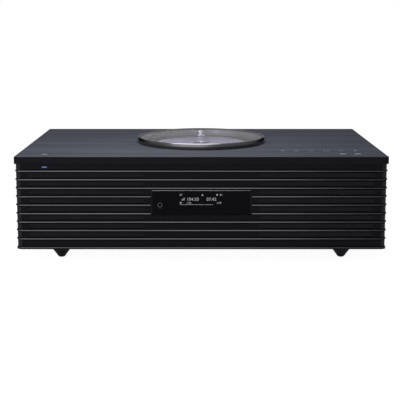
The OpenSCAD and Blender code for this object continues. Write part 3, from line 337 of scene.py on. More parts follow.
def tidy(mesh, sharp):
    """Joins doubled points, turns the faces outwards and shades smooth up to an angle."""
    made = bmesh.new()
    made.from_mesh(mesh)
    bmesh.ops.remove_doubles(made, verts=made.verts, dist=1e-7)
    bmesh.ops.recalc_face_normals(made, faces=made.faces)
    for face in made.faces:
        face.smooth = True
    for edge in made.edges:
        edge.smooth = len(edge.link_faces) == 2 and edge.calc_face_angle(math.pi) < math.radians(sharp)
    made.to_mesh(mesh)
    made.free()


def cut(obj, shape, sharp=35):
    """Takes a shape out of a piece."""
    mesh = bpy.data.meshes.new("cutter")
    mesh.from_pydata([tuple(MM * c for c in v) for v in shape.verts], [], shape.faces)
    tidy(mesh, sharp)
    cutter = bpy.data.objects.new("cutter", mesh)
    bpy.context.scene.collection.objects.link(cutter)
    modifier = obj.modifiers.new("cut", "BOOLEAN")
    modifier.object = cutter
    modifier.operation = "DIFFERENCE"
    modifier.solver = "EXACT"
    bpy.context.view_layer.update()
    done = bpy.data.meshes.new_from_object(obj.evaluated_get(bpy.context.evaluated_depsgraph_get()))
    obj.modifiers.remove(modifier)
    obj.data = done
    bpy.data.objects.remove(cutter)
    tidy(done, sharp)


# Material helpers

# Period of a wave texture at a scale of 1, in metres
WAVE_PERIOD = 2 * math.pi / 20


def node(tree, kind, inputs=None, **settings):
    """A shader node. An input is a value, or another node's socket."""
    made = tree.nodes.new(kind)
    for key, value in settings.items():
        setattr(made, key, value)
    for key, value in (inputs or {}).items():
        if isinstance(value, bpy.types.NodeSocket):
            tree.links.new(value, made.inputs[key])
        else:
            made.inputs[key].default_value = value
    return made


def start(name, sockets):
    """A new material, its tree, its shader and the coordinates of the object in metres."""
    material = bpy.data.materials.new(name)
    material.use_nodes = True
    tree = material.node_tree
    shader = tree.nodes["Principled BSDF"]
    for key, value in sockets.items():
        shader.inputs[key].default_value = value
    place = node(tree, "ShaderNodeTexCoord").outputs["Object"]
    return material, tree, shader, place


def noise(tree, place, stretch, detail=3.0):
    """Noise whose cells are 1/stretch metres along each axis."""
    scaled = node(tree, "ShaderNodeMapping", {"Vector": place, "Scale": stretch})
    return node(
        tree, "ShaderNodeTexNoise", {"Vector": scaled.outputs["Vector"], "Scale": 1.0, "Detail": detail}
    ).outputs["Fac"]


def ramp(tree, fac, dark, light, low=0.25, high=0.75):
    """A colour between two others."""
    made = node(tree, "ShaderNodeValToRGB", {"Fac": fac})
    for element, position, colour in zip(made.color_ramp.elements, (low, high), (dark, light)):
        element.position = position
        element.color = (*colour, 1)
    return made.outputs["Color"]


def span(tree, value, low, high):
    """A value from 0 to 1 mapped to a range."""
    made = node(tree, "ShaderNodeMapRange", {"Value": value, "To Min": low, "To Max": high})
    return made.outputs["Result"]


def blend(tree, a, b, share):
    """A weighted sum of two values."""
    first = node(tree, "ShaderNodeMath", {0: a, 1: 1 - share}, operation="MULTIPLY").outputs[0]
    return node(tree, "ShaderNodeMath", {0: b, 1: share, 2: first}, operation="MULTIPLY_ADD").outputs[0]


def finish(tree, shader, colour, roughness, height, depth, strength):
    """Links colour, roughness and relief into the shader."""
    bump = node(tree, "ShaderNodeBump", {"Height": height, "Distance": depth * MM, "Strength": strength})
    tree.links.new(colour, shader.inputs["Base Color"])
    tree.links.new(roughness, shader.inputs["Roughness"])
    tree.links.new(bump.outputs["Normal"], shader.inputs["Normal"])


def grained(name, dark, light, rough, cell, depth=0.05, strength=0.4, stretch=(1, 1, 1), **sockets):
    """A surface with an even grain, of cells in millimetres."""
    material, tree, shader, place = start(name, sockets)
    scale = tuple(s / (cell * MM) for s in stretch)
    grain = noise(tree, place, scale)
    patches = noise(tree, place, tuple(s / 12 for s in scale), 2.0)
    mixed = blend(tree, grain, patches, 0.4)
    finish(tree, shader, ramp(tree, mixed, dark, light), span(tree, mixed, *rough), grain, depth, strength)
    return material


def hairline(name, dark, light, rough, along, graze=None, **sockets):
    """Brushed metal: fine lines along one axis, and broader streaks among them.

    At a low angle it mirrors in the two colours of graze, where they are given.
    """
    material, tree, shader, place = start(name, sockets)
    fine = [2200.0] * 3
    broad = [70.0] * 3
    fine[along] = 11.0
    broad[along] = 4.0
    lines = noise(tree, place, fine, 4.0)
    streaks = noise(tree, place, broad, 3.0)
    mixed = blend(tree, lines, streaks, 0.65)
    colour = ramp(tree, mixed, dark, light, 0.35, 0.65)
    finish(tree, shader, colour, span(tree, mixed, *rough), lines, 0.02, 0.25)
    if graze:
        tree.links.new(ramp(tree, mixed, *graze, 0.35, 0.65), shader.inputs["Specular Tint"])
    return material


def woven(name, dark, light, rough, thread, depth, **sockets):
    """A plain weave in the X-Z plane, with a thread width in millimetres."""
    material, tree, shader, place = start(name, sockets)
    scale = WAVE_PERIOD / (2 * thread * MM)
    waves = []
    for axis in ("X", "Z"):
        waves.append(
            node(
                tree,
                "ShaderNodeTexWave",
                {"Vector": place, "Scale": scale, "Distortion": 0.6, "Detail": 1.0},
                bands_direction=axis,
            ).outputs["Fac"]
        )
    cloth = blend(tree, waves[0], waves[1], 0.5)
    worn = noise(tree, place, (60, 60, 60), 2.0)
    mixed = blend(tree, cloth, worn, 0.3)
    finish(tree, shader, ramp(tree, mixed, dark, light), span(tree, cloth, *rough), cloth, depth, 0.6)
    return material


def turned(name, dark, light, rough, pitch, **sockets):
    """Metal turned on a lathe: rings round the piece's own Z axis, at a pitch in millimetres."""
    material, tree, shader, place = start(name, sockets)
    rings = node(
        tree,
        "ShaderNodeTexWave",
        {"Vector": place, "Scale": WAVE_PERIOD / (pitch * MM), "Distortion": 0.4},
        wave_type="RINGS",
        rings_direction="Z",
    ).outputs["Fac"]
    worn = noise(tree, place, (300, 300, 300), 2.0)
    mixed = blend(tree, rings, worn, 0.5)
    finish(tree, shader, ramp(tree, mixed, dark, light), span(tree, mixed, *rough), rings, 0.01, 0.3)
    return material


def glowing(name, colour, strength, cell):
    """A lit surface, a little uneven like a diffuser, of cells in millimetres."""
    material, tree, shader, place = start(name, {"Roughness": 0.4, "Emission Strength": strength})
    cloud = noise(tree, place, (1 / (cell * MM),) * 3, 2.0)
    dim = tuple(0.75 * c for c in colour)
    lit = ramp(tree, cloud, dim, colour)
    tree.links.new(lit, shader.inputs["Base Color"])
    tree.links.new(lit, shader.inputs["Emission Color"])
    return material


def clear(name, colour, ior, rough, **sockets):
    """A clear moulding with the faintest haze of use."""
    material, tree, shader, place = start(name, {"Transmission Weight": 1.0, "IOR": ior, **sockets})
    haze = noise(tree, place, (90, 90, 90), 4.0)
    tint = tuple(0.97 * c for c in colour)
    tree.links.new(ramp(tree, haze, tint, colour), shader.inputs["Base Color"])
    tree.links.new(span(tree, haze, *rough), shader.inputs["Roughness"])
    return material


def circuit(name):
    """A circuit board: green lacquer over a maze of tracks, with a fine grain."""
    material, tree, shader, place = start(name, {"Specular IOR Level": 0.4})
    tracks = node(
        tree,
        "ShaderNodeTexBrick",
        {"Vector": place, "Scale": 160.0, "Mortar Size": 0.03, "Brick Width": 0.9, "Row Height": 0.35},
    ).outputs["Fac"]
    grain = noise(tree, place, (900, 900, 900))
    mixed = blend(tree, tracks, grain, 0.3)
    colour = ramp(tree, mixed, (0.012, 0.06, 0.022), (0.05, 0.17, 0.07))
    finish(tree, shader, colour, span(tree, grain, 0.3, 0.5), tracks, 0.04, 0.4)
    return material


def silver_disc(name):
    """The printed silver of a disc: its colour shifts with the angle round its middle, a painted sheen,
    over a real sheen that fans out from its middle.
    """
    material, tree, shader, place = start(
        name, {"Metallic": 1.0, "Anisotropic": 0.55, "Specular Tint": (0.85, 0.825, 0.96, 1.0)}
    )
    rings = noise(tree, place, (1500, 1500, 1500))
    # Painted sheen: the base colour follows the angle round the disc's middle.
    fan = node(tree, "ShaderNodeTexGradient", {"Vector": place}, gradient_type="RADIAL").outputs["Fac"]
    painted_sheen = node(tree, "ShaderNodeMath", {0: fan, 1: 4.0}, operation="PINGPONG").outputs[0]
    mixed = blend(tree, rings, painted_sheen, 0.4)
    colour = ramp(tree, mixed, (0.44, 0.425, 0.52), (0.58, 0.56, 0.68))
    finish(tree, shader, colour, span(tree, rings, 0.26, 0.36), rings, 0.005, 0.2)
    tangent = node(tree, "ShaderNodeTangent", direction_type="RADIAL", axis="Z")
    tree.links.new(tangent.outputs["Tangent"], shader.inputs["Tangent"])
    return material


def wall_finish(name, shine):
    """The black of the walls, with a level for its shine."""
    dark = (0.0027, 0.0025, 0.0037)
    light = (0.0042, 0.0039, 0.0057)
    return grained(name, dark, light, (0.42, 0.55), 0.5, 0.04, 0.35, **{"Specular IOR Level": shine})


def rib_finish(name, along):
    """The bright face of the ribs, brushed along an axis."""
    dark = (0.019, 0.0188, 0.0205)
    light = (0.030, 0.0296, 0.0322)
    return hairline(name, dark, light, (0.20, 0.28), along, Metallic=1.0)


# Materials, one or more for each finish of the record

plate_metal = hairline(
    "plate_metal", (0.069, 0.0725, 0.088), (0.085, 0.089, 0.108), (0.52, 0.62),
    along=0, graze=((0.089, 0.0935, 0.113), (0.101, 0.106, 0.128)), Metallic=1.0
)
edge_metal = hairline(
    "edge_metal", (0.0026, 0.0025, 0.0037), (0.0042, 0.0040, 0.0059), (0.36, 0.46),
    along=0, **{"Specular IOR Level": 0.04}
)
bore_metal = turned(
    "bore_metal", (0.22, 0.217, 0.238), (0.32, 0.316, 0.345), (0.42, 0.5),
    pitch=0.4, Metallic=1.0
)
wall_black = wall_finish("wall_black", 0.03)
# A shinier copy of the wall's black for the rounded corners: painted highlight.
wall_corner_highlight = wall_finish("wall_corner_highlight", 0.12)
rib_front = rib_finish("rib_front", 0)
rib_side = rib_finish("rib_side", 1)
matte_black = grained(
    "matte_black", (0.010, 0.010, 0.0115), (0.016, 0.016, 0.018), (0.55, 0.7),
    cell=0.35, depth=0.05, strength=0.5, **{"Specular IOR Level": 0.2}
)
cloth_black = woven(
    "cloth_black", (0.0037, 0.0035, 0.0049), (0.0080, 0.0075, 0.0105), (0.8, 0.95),
    thread=0.35, depth=0.12, **{"Specular IOR Level": 0.06}
)
foot_rubber = grained(
    "foot_rubber", (0.0045, 0.0043, 0.0062), (0.0070, 0.0067, 0.0094), (0.6, 0.75),
    cell=0.4, depth=0.05, strength=0.5, **{"Specular IOR Level": 0.06}
)
coated_steel = grained(
    "coated_steel", (0.016, 0.016, 0.018), (0.026, 0.026, 0.029), (0.45, 0.6),
    cell=0.25, depth=0.04, strength=0.4
)
plain_steel = hairline(
    "plain_steel", (0.42, 0.42, 0.43), (0.55, 0.55, 0.56), (0.3, 0.42),
    along=0, Metallic=1.0
)
bright_metal = turned(
    "bright_metal", (0.62, 0.63, 0.66), (0.78, 0.79, 0.82), (0.12, 0.22),
    pitch=0.4, Metallic=1.0
)
window_gloss = grained(
    "window_gloss", (0.0018, 0.0018, 0.0022), (0.0025, 0.0025, 0.0031), (0.06, 0.12),
    cell=9.0, depth=0.002, strength=0.1, **{"Specular IOR Level": 0.02}
)
# The window's edges: a lighter metal copy of its gloss black, painted highlight on its chamfers and sides.
window_edge_highlight = grained(
    "window_edge_highlight", (0.040, 0.0395, 0.0454), (0.060, 0.0593, 0.068), (0.25, 0.35),
    cell=0.6, depth=0.01, strength=0.2, Metallic=1.0
)
board_green = circuit("board_green")
socket_dark = grained(
    "socket_dark", (0.014, 0.0138, 0.0152), (0.022, 0.0217, 0.024), (0.4, 0.55),
    cell=0.3, **{"Specular IOR Level": 0.2}
)
led_light = glowing("led_light", (0.090, 0.128, 0.230), strength=0.25, cell=1.2)
led_surround = grained(
    "led_surround", (0.002, 0.004, 0.016), (0.004, 0.008, 0.028), (0.1, 0.2),
    cell=0.5, depth=0.01, strength=0.2, **{"Specular IOR Level": 0.05}
)
glyph_light = glowing("glyph_light", (0.21, 0.215, 0.22), strength=0.30, cell=0.4)
mark_grey = grained(
    "mark_grey", (0.055, 0.0575, 0.065), (0.077, 0.080, 0.090), (0.4, 0.5),
    cell=0.3, depth=0.01, strength=0.2
)
button_metal = turned(
    "button_metal", (0.26, 0.268, 0.295), (0.36, 0.372, 0.41), (0.24, 0.32),
    pitch=0.25, **{"Metallic": 1.0, "Specular Tint": (0.42, 0.433, 0.475, 1.0)}
)
post_metal = turned(
    "post_metal", (0.29, 0.29, 0.306), (0.44, 0.44, 0.464), (0.14, 0.22),
    pitch=0.4, Metallic=1.0
)
lid_pane = clear("lid_pane", (0.60, 0.59, 0.640), ior=1.0225, rough=(0.0, 0.02))
lid_wall = grained(
    "lid_wall", (0.30, 0.296, 0.318), (0.41, 0.404, 0.435), (0.42, 0.5),
    cell=3.0, depth=0.004, strength=0.1, Metallic=1.0
)
lid_skirt = grained(
    "lid_skirt", (0.050, 0.0493, 0.0525), (0.069, 0.068, 0.0725), (0.28, 0.34),
    cell=6.0, depth=0.004, strength=0.1, **{"Metallic": 1.0, "Specular Tint": (0.10, 0.10, 0.10, 1.0)}
)
# A lighter copy of the rim's finish for the lid's top edge: painted highlight.
lid_edge_highlight = grained(
    "lid_edge_highlight", (0.11, 0.1085, 0.1145), (0.15, 0.1475, 0.156), (0.12, 0.2),
    cell=3.0, depth=0.004, strength=0.1, **{"Metallic": 1.0, "Specular Tint": (0.30, 0.30, 0.30, 1.0)}
)
# A near-black copy of the rim's finish for the lid's lower band: painted shade at its foot.
lid_foot_shade = grained(
    "lid_foot_shade", (0.010, 0.0098, 0.0105), (0.0145, 0.0142, 0.0152), (0.28, 0.34),
    cell=6.0, depth=0.004, strength=0.1, **{"Specular IOR Level": 0.12}
)
bush_brass = turned(
    "bush_brass", (0.50, 0.37, 0.16), (0.66, 0.52, 0.27), (0.2, 0.35),
    pitch=0.5, Metallic=1.0
)
well_satin = grained(
    "well_satin", (0.021, 0.0206, 0.0226), (0.031, 0.0304, 0.0334), (0.34, 0.46),
    cell=0.4, depth=0.03, strength=0.3, **{"Specular IOR Level": 0.6}
)
disc_silver = silver_disc("disc_silver")
disc_clear = clear("disc_clear", (0.90, 0.90, 0.94), ior=1.55, rough=(0.05, 0.12))
hub_dark = grained(
    "hub_dark", (0.012, 0.012, 0.014), (0.02, 0.02, 0.023), (0.3, 0.45),
    cell=0.3, depth=0.02, strength=0.3
)
# The hub's top ring, lighter than its dark sides: painted light on its top face.
hub_top_painted_light = grained(
    "hub_top_painted_light", (0.30, 0.295, 0.33), (0.42, 0.413, 0.46), (0.25, 0.35),
    cell=0.3, depth=0.01, strength=0.2
)
lens_coat = clear("lens_coat", (0.55, 0.62, 0.9), ior=1.6, rough=(0.0, 0.03), **{"Coat Weight": 0.6})
fibre_board = grained(
    "fibre_board", (0.11, 0.078, 0.046), (0.19, 0.14, 0.09), (0.75, 0.9),
    cell=1.2, depth=0.08, strength=0.5, stretch=(1, 0.4, 1)
)
ferrite = grained(
    "ferrite", (0.03, 0.03, 0.032), (0.055, 0.055, 0.058), (0.55, 0.7),
    cell=0.6, depth=0.05, strength=0.4
)
cone_paper = grained(
    "cone_paper", (0.02, 0.02, 0.021), (0.04, 0.04, 0.042), (0.75, 0.9),
    cell=1.5, depth=0.1, strength=0.6
)
dome_cloth = woven(
    "dome_cloth", (0.02, 0.02, 0.022), (0.05, 0.05, 0.053), (0.6, 0.8),
    thread=0.25, depth=0.06
)

SLOT_MATERIALS = {
    "brushed_aluminium": plate_metal,
    "black_satin": wall_black,
    "black_matte": matte_black,
    "speaker_cloth": cloth_black,
    "foot_rubber": foot_rubber,
    "dark_steel": coated_steel,
    "bright_steel": plain_steel,
    "polished_metal": bright_metal,
    "black_gloss": window_gloss,
    "circuit_board": board_green,
    "socket_dark": socket_dark,
    "status_light": led_light,
    "button_metal": button_metal,
    "clear_acrylic": lid_pane,
    "bush_brass": bush_brass,
    "well_plastic": well_satin,
    "disc_mirror": disc_silver,
    "hub_plastic": hub_dark,
    "lens_glass": lens_coat,
    "box_board": fibre_board,
    "magnet_iron": ferrite,
    "cone_paper": cone_paper,
    "dome_fabric": dome_cloth,
}

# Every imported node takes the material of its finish
for part in frame["record"]["subparts"]:
    solid = frame["nodes"][part["node"]]
    solid.data.materials.clear()
    solid.data.materials.append(SLOT_MATERIALS[part["material_slot"]])


# Top plate: a sheet with a downturned rim, the disc's hole and the button holes


def plate_mark(points):
    """0 for the brushed top, 2 for the bore round the disc, 1 for the other edges."""
    if all(p[2] == PLATE_TOP for p in points):
        return 0
    reach = WELL_R + 2 * PLATE_CHAMFER
    return 2 if all(math.hypot(p[0], p[1]) < reach for p in points) else 1


def make_plate():
    outer = rounded_rect(CASE_W, CASE_D, PLATE_R)
    inner = rounded_rect(CASE_W - 2 * PLATE_RIM, CASE_D - 2 * PLATE_RIM, PLATE_RIM_R)
    holes = [round_hole((0, 0), WELL_R, LARGE_ROUND)]
    holes += [round_hole(at, BUTTON_R + BUTTON_GAP) for at in BUTTONS.values()]
    sheet = Shape()
    verts, faces = slab([outer, *holes], SHEET_LOW, PLATE_TOP, PLATE_CHAMFER)
    sheet.add(verts, faces, [plate_mark([verts[i] for i in face]) for face in faces])
    rim_verts, rim_faces = slab([outer, inner], WALL_TOP, SHEET_LOW, 0)
    sheet.add(rim_verts, rim_faces, 1)
    finishes = [plate_metal, edge_metal, bore_metal]
    piece("plate", sheet, finishes, "case", ["top_plate"])


make_plate()


# Ribbed walls


def front_path(out, x_end=None):
    """The front's outline at a distance out of its face, from the left return to x_end or the right one."""
    r = CORNER_R + out
    steps = 10
    cx = WALL_X - CORNER_R
    cy = WALL_FRONT + CORNER_R
    left = [(-(WALL_X + out), RETURN_BACK)]
    for i in range(steps + 1):
        a = math.radians(180 + 90 * i / steps)
        left.append((-cx + r * math.cos(a), cy + r * math.sin(a)))
    if x_end is not None:
        return [*left, (x_end, WALL_FRONT - out)]
    return left + [(-x, y) for x, y in reversed(left)]


def side_path(out):
    """A side wall's outline, for the right side."""
    x = WALL_X + out
    return [(x, RETURN_BACK + SEAM), (x, WALL_BACK)]


FLANK, FACE = 0, 1


def rib_level(i):
    """A rib's height. The last one stands a little lower, at the wall's end."""
    drop = LAST_RIB_DROP if i == RIB_COUNT - 1 else 0
    return RIB_Z - i * RIB_PITCH - drop


def wall_section():
    """The wall's section and its marks, with a groove above and below each rib."""
    points = [(0, WALL_TOP)]
    for i in range(RIB_COUNT):
        for side in (1, -1):
            near = rib_level(i) + side * RIB_HALF
            far = rib_level(i) + side * (RIB_HALF + GROOVE_H)
            steps = [(0, far), (-GROOVE_D, far), (-GROOVE_D, near), (0, near)]
            steps = steps if side > 0 else steps[::-1]
            points += [p for p in steps if p[1] > WALL_LOW]
    points += [(0, WALL_LOW), (-WALL_T, WALL_LOW), (-WALL_T, WALL_TOP)]
    return points, [FLANK] * len(points)


def rib_section(i):
    """A rib's section and its marks: black flanks, and a bright face that leans back.

    The last rib reaches down to the wall's end, as a deeper sill.
    """
    high = rib_level(i) + RIB_HALF
    low = rib_level(i) - RIB_HALF
    top = RIB_OUT - math.tan(RIB_LEAN) * (high - low - 2 * RIB_EDGE)
    section = [
        (-RIB_ROOT, high),
        (top - RIB_EDGE, high),
        (top, high - RIB_EDGE),
        (RIB_OUT, low + RIB_EDGE),
    ]
    marks = [FLANK, FLANK, FACE, FLANK]
    if i == RIB_COUNT - 1:
        low = WALL_LOW
        section.append((RIB_OUT, low + RIB_EDGE))
        marks.append(FLANK)
    return section + [(RIB_OUT - RIB_EDGE, low), (-RIB_ROOT, low)], marks + [FLANK, FLANK]


def on_corner(points):
    """1 for a face on a rounded corner of the front, which shines a little more than the flat wall: a
    shinier copy of the wall's black, painted highlight on the corners.
    """
    x = sum(p[0] for p in points) / len(points)
    y = sum(p[1] for p in points) / len(points)
    return int(abs(x) > WALL_X - CORNER_R and y < WALL_FRONT + CORNER_R)


def make_front():
    verts, faces, _ = sweep(front_path, *wall_section())
    # Faces on the rounded corners take the shinier copy of the black, a painted highlight.
    wall = Shape().add(verts, faces, [on_corner([verts[i] for i in face]) for face in faces])
    front = piece("front_wall", wall, [wall_black, wall_corner_highlight], "case", ["front_grille"])
    near = WALL_FRONT - CUT_OUT
    far = WALL_FRONT + CUT_IN
    holes = Shape()
    for row in range(SLOT_ROWS):
        low = rib_level(row + 1) + SLOT_EDGE
        high = rib_level(row) - SLOT_EDGE
        for a, b in (SLOT_X, (-SLOT_X[1], -SLOT_X[0])):
            holes.add(*block((a, near, low), (b, far, high)))
    half = WINDOW_W / 2 + WINDOW_GAP
    holes.add(*block((-half, near, WINDOW_Z[0] - WINDOW_GAP), (half, far, WINDOW_Z[1] + WINDOW_GAP)))
    led_w = LED_SIZE[0] / 2 + LED_GAP
    led_h = LED_SIZE[1] / 2 + LED_GAP
    holes.add(*block((LED[0] - led_w, near, LED[1] - led_h), (LED[0] + led_w, far, LED[1] + led_h)))
    cut(front, holes)


def make_ribs():
    rows = Shape()
    for i in range(RIB_COUNT):
        section = rib_section(i)
        if WINDOW_Z[0] - RIB_HALF < rib_level(i) < WINDOW_Z[1]:
            end = -WINDOW_W / 2 - RIB_GAP
            verts, faces, marks = sweep(lambda out: front_path(out, end), *section)
            rows.add(verts, faces, marks)
            rows.add([(-x, y, z) for x, y, z in verts], faces, marks)
        else:
            rows.add(*sweep(front_path, *section))
    piece("front_ribs", rows, [wall_black, rib_front], "case", sharp=30)


def make_sides():
    for name, sign in (("left", -1), ("right", 1)):
        wall = Shape()
        sections = [wall_section()] + [rib_section(i) for i in range(RIB_COUNT)]
        for section in sections:
            verts, faces, marks = sweep(side_path, *section)
            wall.add([(sign * x, y, z) for x, y, z in verts], faces, marks)
        finishes = [wall_black, rib_side]
        stands_for = ["side_panel_" + name]
        piece("side_wall_" + name, wall, finishes, "case", stands_for, sharp=30)


make_front()
make_ribs()
make_sides()


# Speaker cloth: one stretched sheet a side, drawn forward into the slots


def make_cloth():
    edge = 2.0
    clearance = 0.1
    fold = 0.02
    section = [(0.0, rib_level(SLOT_ROWS) + SLOT_EDGE - edge)]
    flush = WALL_T - 2 * clearance
    steps = [(0.0, 0.0), (0.1 * flush, 0.7), (0.75 * flush, 0.85), (0.96 * flush, 1.0), (flush, 1.4)]
    for row in reversed(range(SLOT_ROWS)):
        low = rib_level(row + 1) + SLOT_EDGE
        high = rib_level(row) - SLOT_EDGE
        section += [(out, low + clearance + h) for out, h in steps]
        section += [(out, high - clearance - h) for out, h in reversed(steps)]
    section.append((0.0, rib_level(0) - SLOT_EDGE + edge))
    back = WALL_FRONT + WALL_T + clearance
    near, far = SLOT_X
    ends = (near - edge, near + fold, near + clearance, far - clearance, far - fold, far + edge)
    draw = (0, 0, 1, 1, 0, 0)
    verts = [(x, back - d * out, z) for x, d in zip(ends, draw) for out, z in section]
    count = len(section)
    faces = []
    for j in range(len(ends) - 1):
        for i in range(count - 1):
            a = j * count + i
            faces.append([a, a + 1, a + count + 1, a + count])
    drop = sum(math.dist(a, b) for a, b in zip(section, section[1:]))
    for name, sign in (("left", -1), ("right", 1)):
        sheet = Shape().add([(sign * x, y, z) for x, y, z in verts], faces)
        nodes = ["grille_cloth"] if sign < 0 else []
        made = piece("cloth_" + name, sheet, [cloth_black], "case", nodes, sharp=80)


make_cloth()


# Display window, its picture and the status light


def make_window():
    middle = (WINDOW_Z[0] + WINDOW_Z[1]) / 2
    outline = rounded_rect(WINDOW_W, WINDOW_Z[1] - WINDOW_Z[0], WINDOW_R, steps=4)
    hole = round_hole((JACK[0], JACK[1] - middle), JACK_R + WINDOW_GAP)
    verts, faces = slab([outline, hole], -WINDOW_BACK, -WINDOW_FRONT, WINDOW_CHAMFER)
    level = {-WINDOW_FRONT}
    # The face stays gloss black; chamfers and sides take the lighter metal copy, a painted highlight on the
    # edges.
    marks = [0 if {verts[i][2] for i in face} == level else 1 for face in faces]
    glass = Shape().add(verts, faces, marks, to_front, (0, 0, middle))
    finishes = [window_gloss, window_edge_highlight]
    piece("window_glass", glass, finishes, "case", ["display_window"], sharp=25)


def text_shape(shape, words, x, z, size, depth):
    """Numerals laid on the window's face."""
    curve = bpy.data.curves.new("numerals", "FONT")
    curve.body = words
    curve.size = size
    obj = bpy.data.objects.new("numerals", curve)
    bpy.context.scene.collection.objects.link(obj)
    mesh = bpy.data.meshes.new_from_object(obj.evaluated_get(bpy.context.evaluated_depsgraph_get()))
    verts = [(v.co.x, v.co.y, 0) for v in mesh.vertices]
    faces = [list(p.vertices) for p in mesh.polygons]
    bpy.data.objects.remove(obj)
    shape.add(verts, faces, turn=to_front, at=(x, depth, z))


def flat(shape, points, x, z, depth):
    """A flat figure laid on the window's face."""
    verts = [(px, py, 0) for px, py in points]
    shape.add(verts, [list(range(len(points)))], turn=to_front, at=(x, depth, z))


def ring_points(r, n=24):
    """A circle round the origin."""
    return [(r * math.cos(2 * math.pi * i / n), r * math.sin(2 * math.pi * i / n)) for i in range(n)]


def bar(w, h):
    """A bar, from its lower left corner."""
    return [(0, 0), (w, 0), (w, h), (0, h)]


def make_picture():
    depth = WINDOW_FRONT - PICTURE_LIFT
    left = -26.0
    middle = -17.7
    right = 22.0
    base = WINDOW_Z[0]
    top_row = base + 22.9
    main_row = base + 16.8
    low_row = base + 13.0
    large = 5.4
    small = 3.2
    numerals = (
        ("104.50", middle, main_row, large),
        ("07:42", 6.2, main_row, large),
        ("07", left, top_row, small),
        ("1:24", middle, low_row, small),
        ("3:48", 18.6, low_row, small),
        ("24", right, top_row, small),
    )
    play_arrow = [(0, 0), (2.4, 1.3), (0, 2.6)]
    roof = [(0, 0), (2.6, 0), (1.3, 2.3)]
    signs = [
        (play_arrow, left + 0.4, low_row - 0.1),
        (bar(39.8, 0.34), left, low_row - 1.2),
        (roof, 0.0, top_row),
        (ring_points(1.0), right - 3.0, top_row + 1.1),
    ]
    bar_step = 1.3
    bar_heights = (1.2, 2.3, 3.4)
    signs += [(bar(0.7, h), left + 2.4 + bar_step * i, main_row + 0.3) for i, h in enumerate(bar_heights)]
    picture = Shape()
    for words, x, z, size in numerals:
        text_shape(picture, words, x, z, size, depth)
    for points, x, z in signs:
        flat(picture, points, x, z, depth)
    piece("display_picture", picture, [glyph_light], "case")


def make_light():
    glow_size = [whole - edge for whole, edge in zip(LED_SIZE, LED_GLOW_EDGE)]
    stem = rounded_rect(*LED_SIZE, LED_R, steps=6)
    bezel = rounded_rect(*LED_BEZEL, LED_BEZEL_R)
    glow = rounded_rect(*glow_size, LED_GLOW_R, steps=6)
    face = -WALL_FRONT
    bezel_top = face + LED_BEZEL_OUT
    glow_top = face + LED_GLOW_OUT
    sunk = 0.05
    bezel_chamfer = 0.08
    glow_chamfer = 0.15
    dark, lit = 0, 1
    layers = (
        (stem, face - LED_STEM, face, 0, dark),
        (bezel, face - sunk, bezel_top, bezel_chamfer, dark),
        (glow, bezel_top, glow_top, glow_chamfer, lit),
    )
    lens = Shape()
    for outline, low, high, chamfer, mark in layers:
        lens.add(*slab([outline], low, high, chamfer), mark, to_front, (LED[0], 0, LED[1]))
    piece("light_lens", lens, [led_surround, led_light], "case", ["status_led"])


make_window()
make_picture()
make_light()


# Buttons: a domed cap with a turned finish, and the flange that the plate holds


def make_buttons():
    button = packed("power_button")
    low = button.low.z - PLATE_TOP
    flange_r = button.size.x / 2
    flange_t = 1.2
    dome = 0.45
    bevel = (0.2, 0.25)
    steps = 8
    shares = [1 - i / steps for i in range(steps + 1)]
    profile = [
        (0, low),
        (flange_r, low),
        (flange_r, low + flange_t),
        (BUTTON_R, low + flange_t),
        (BUTTON_R, -dome - bevel[1]),
        *[((BUTTON_R - bevel[0]) * share, -dome * share**2) for share in shares],
    ]
    for name, (x, y) in BUTTONS.items():
        cap = Shape().add(*lathe(profile, ROUND))
        stands_for = [name + "_button"]
        at = (x, y, PLATE_TOP)
        body = name + "_key"
        piece(name + "_cap", cap, [button_metal], body, stands_for, sharp=40, origin=at)


make_buttons()


# Touch marks: small printed signs on the plate


def make_touch_marks():
    marks = Shape()
    level = PLATE_TOP + TOUCH_LIFT
    arrow = [(-1.6, -2.0), (1.6, 0), (-1.6, 2.0)]
    back_arrow = [(1.6, -2.0), (1.6, 2.0), (-1.6, 0)]
    post = [(-0.4, -2.0), (0.4, -2.0), (0.4, 2.0), (-0.4, 2.0)]
    square = [(-1.8, -1.8), (1.8, -1.8), (1.8, 1.8), (-1.8, 1.8)]
    roof = [(-2.2, -0.4), (2.2, -0.4), (0, 2.0)]
    base = [(-4.0, -1.8), (4.0, -1.8), (4.0, -1.0), (-4.0, -1.0)]
    signs = (
        [(ring_points(2.0), 0)],
        [(roof, 0), (base, 0)],
        [(post, -2.2), (back_arrow, 0)],
        [(arrow, -1.2), (post, 1.6), (post, 3.0)],
        [(arrow, 0), (post, 2.2)],
        [(square, 0)],
    )
    for x, sign in zip(TOUCH_X, signs):
        for points, shift in sign:
            verts = [(x + shift + px, TOUCH_Y + py, level) for px, py in points]
            marks.add(verts, [list(range(len(points)))])
    piece("touch_marks", marks, [mark_grey], "case")


make_touch_marks()


# Lid, its post, the disc and its hub


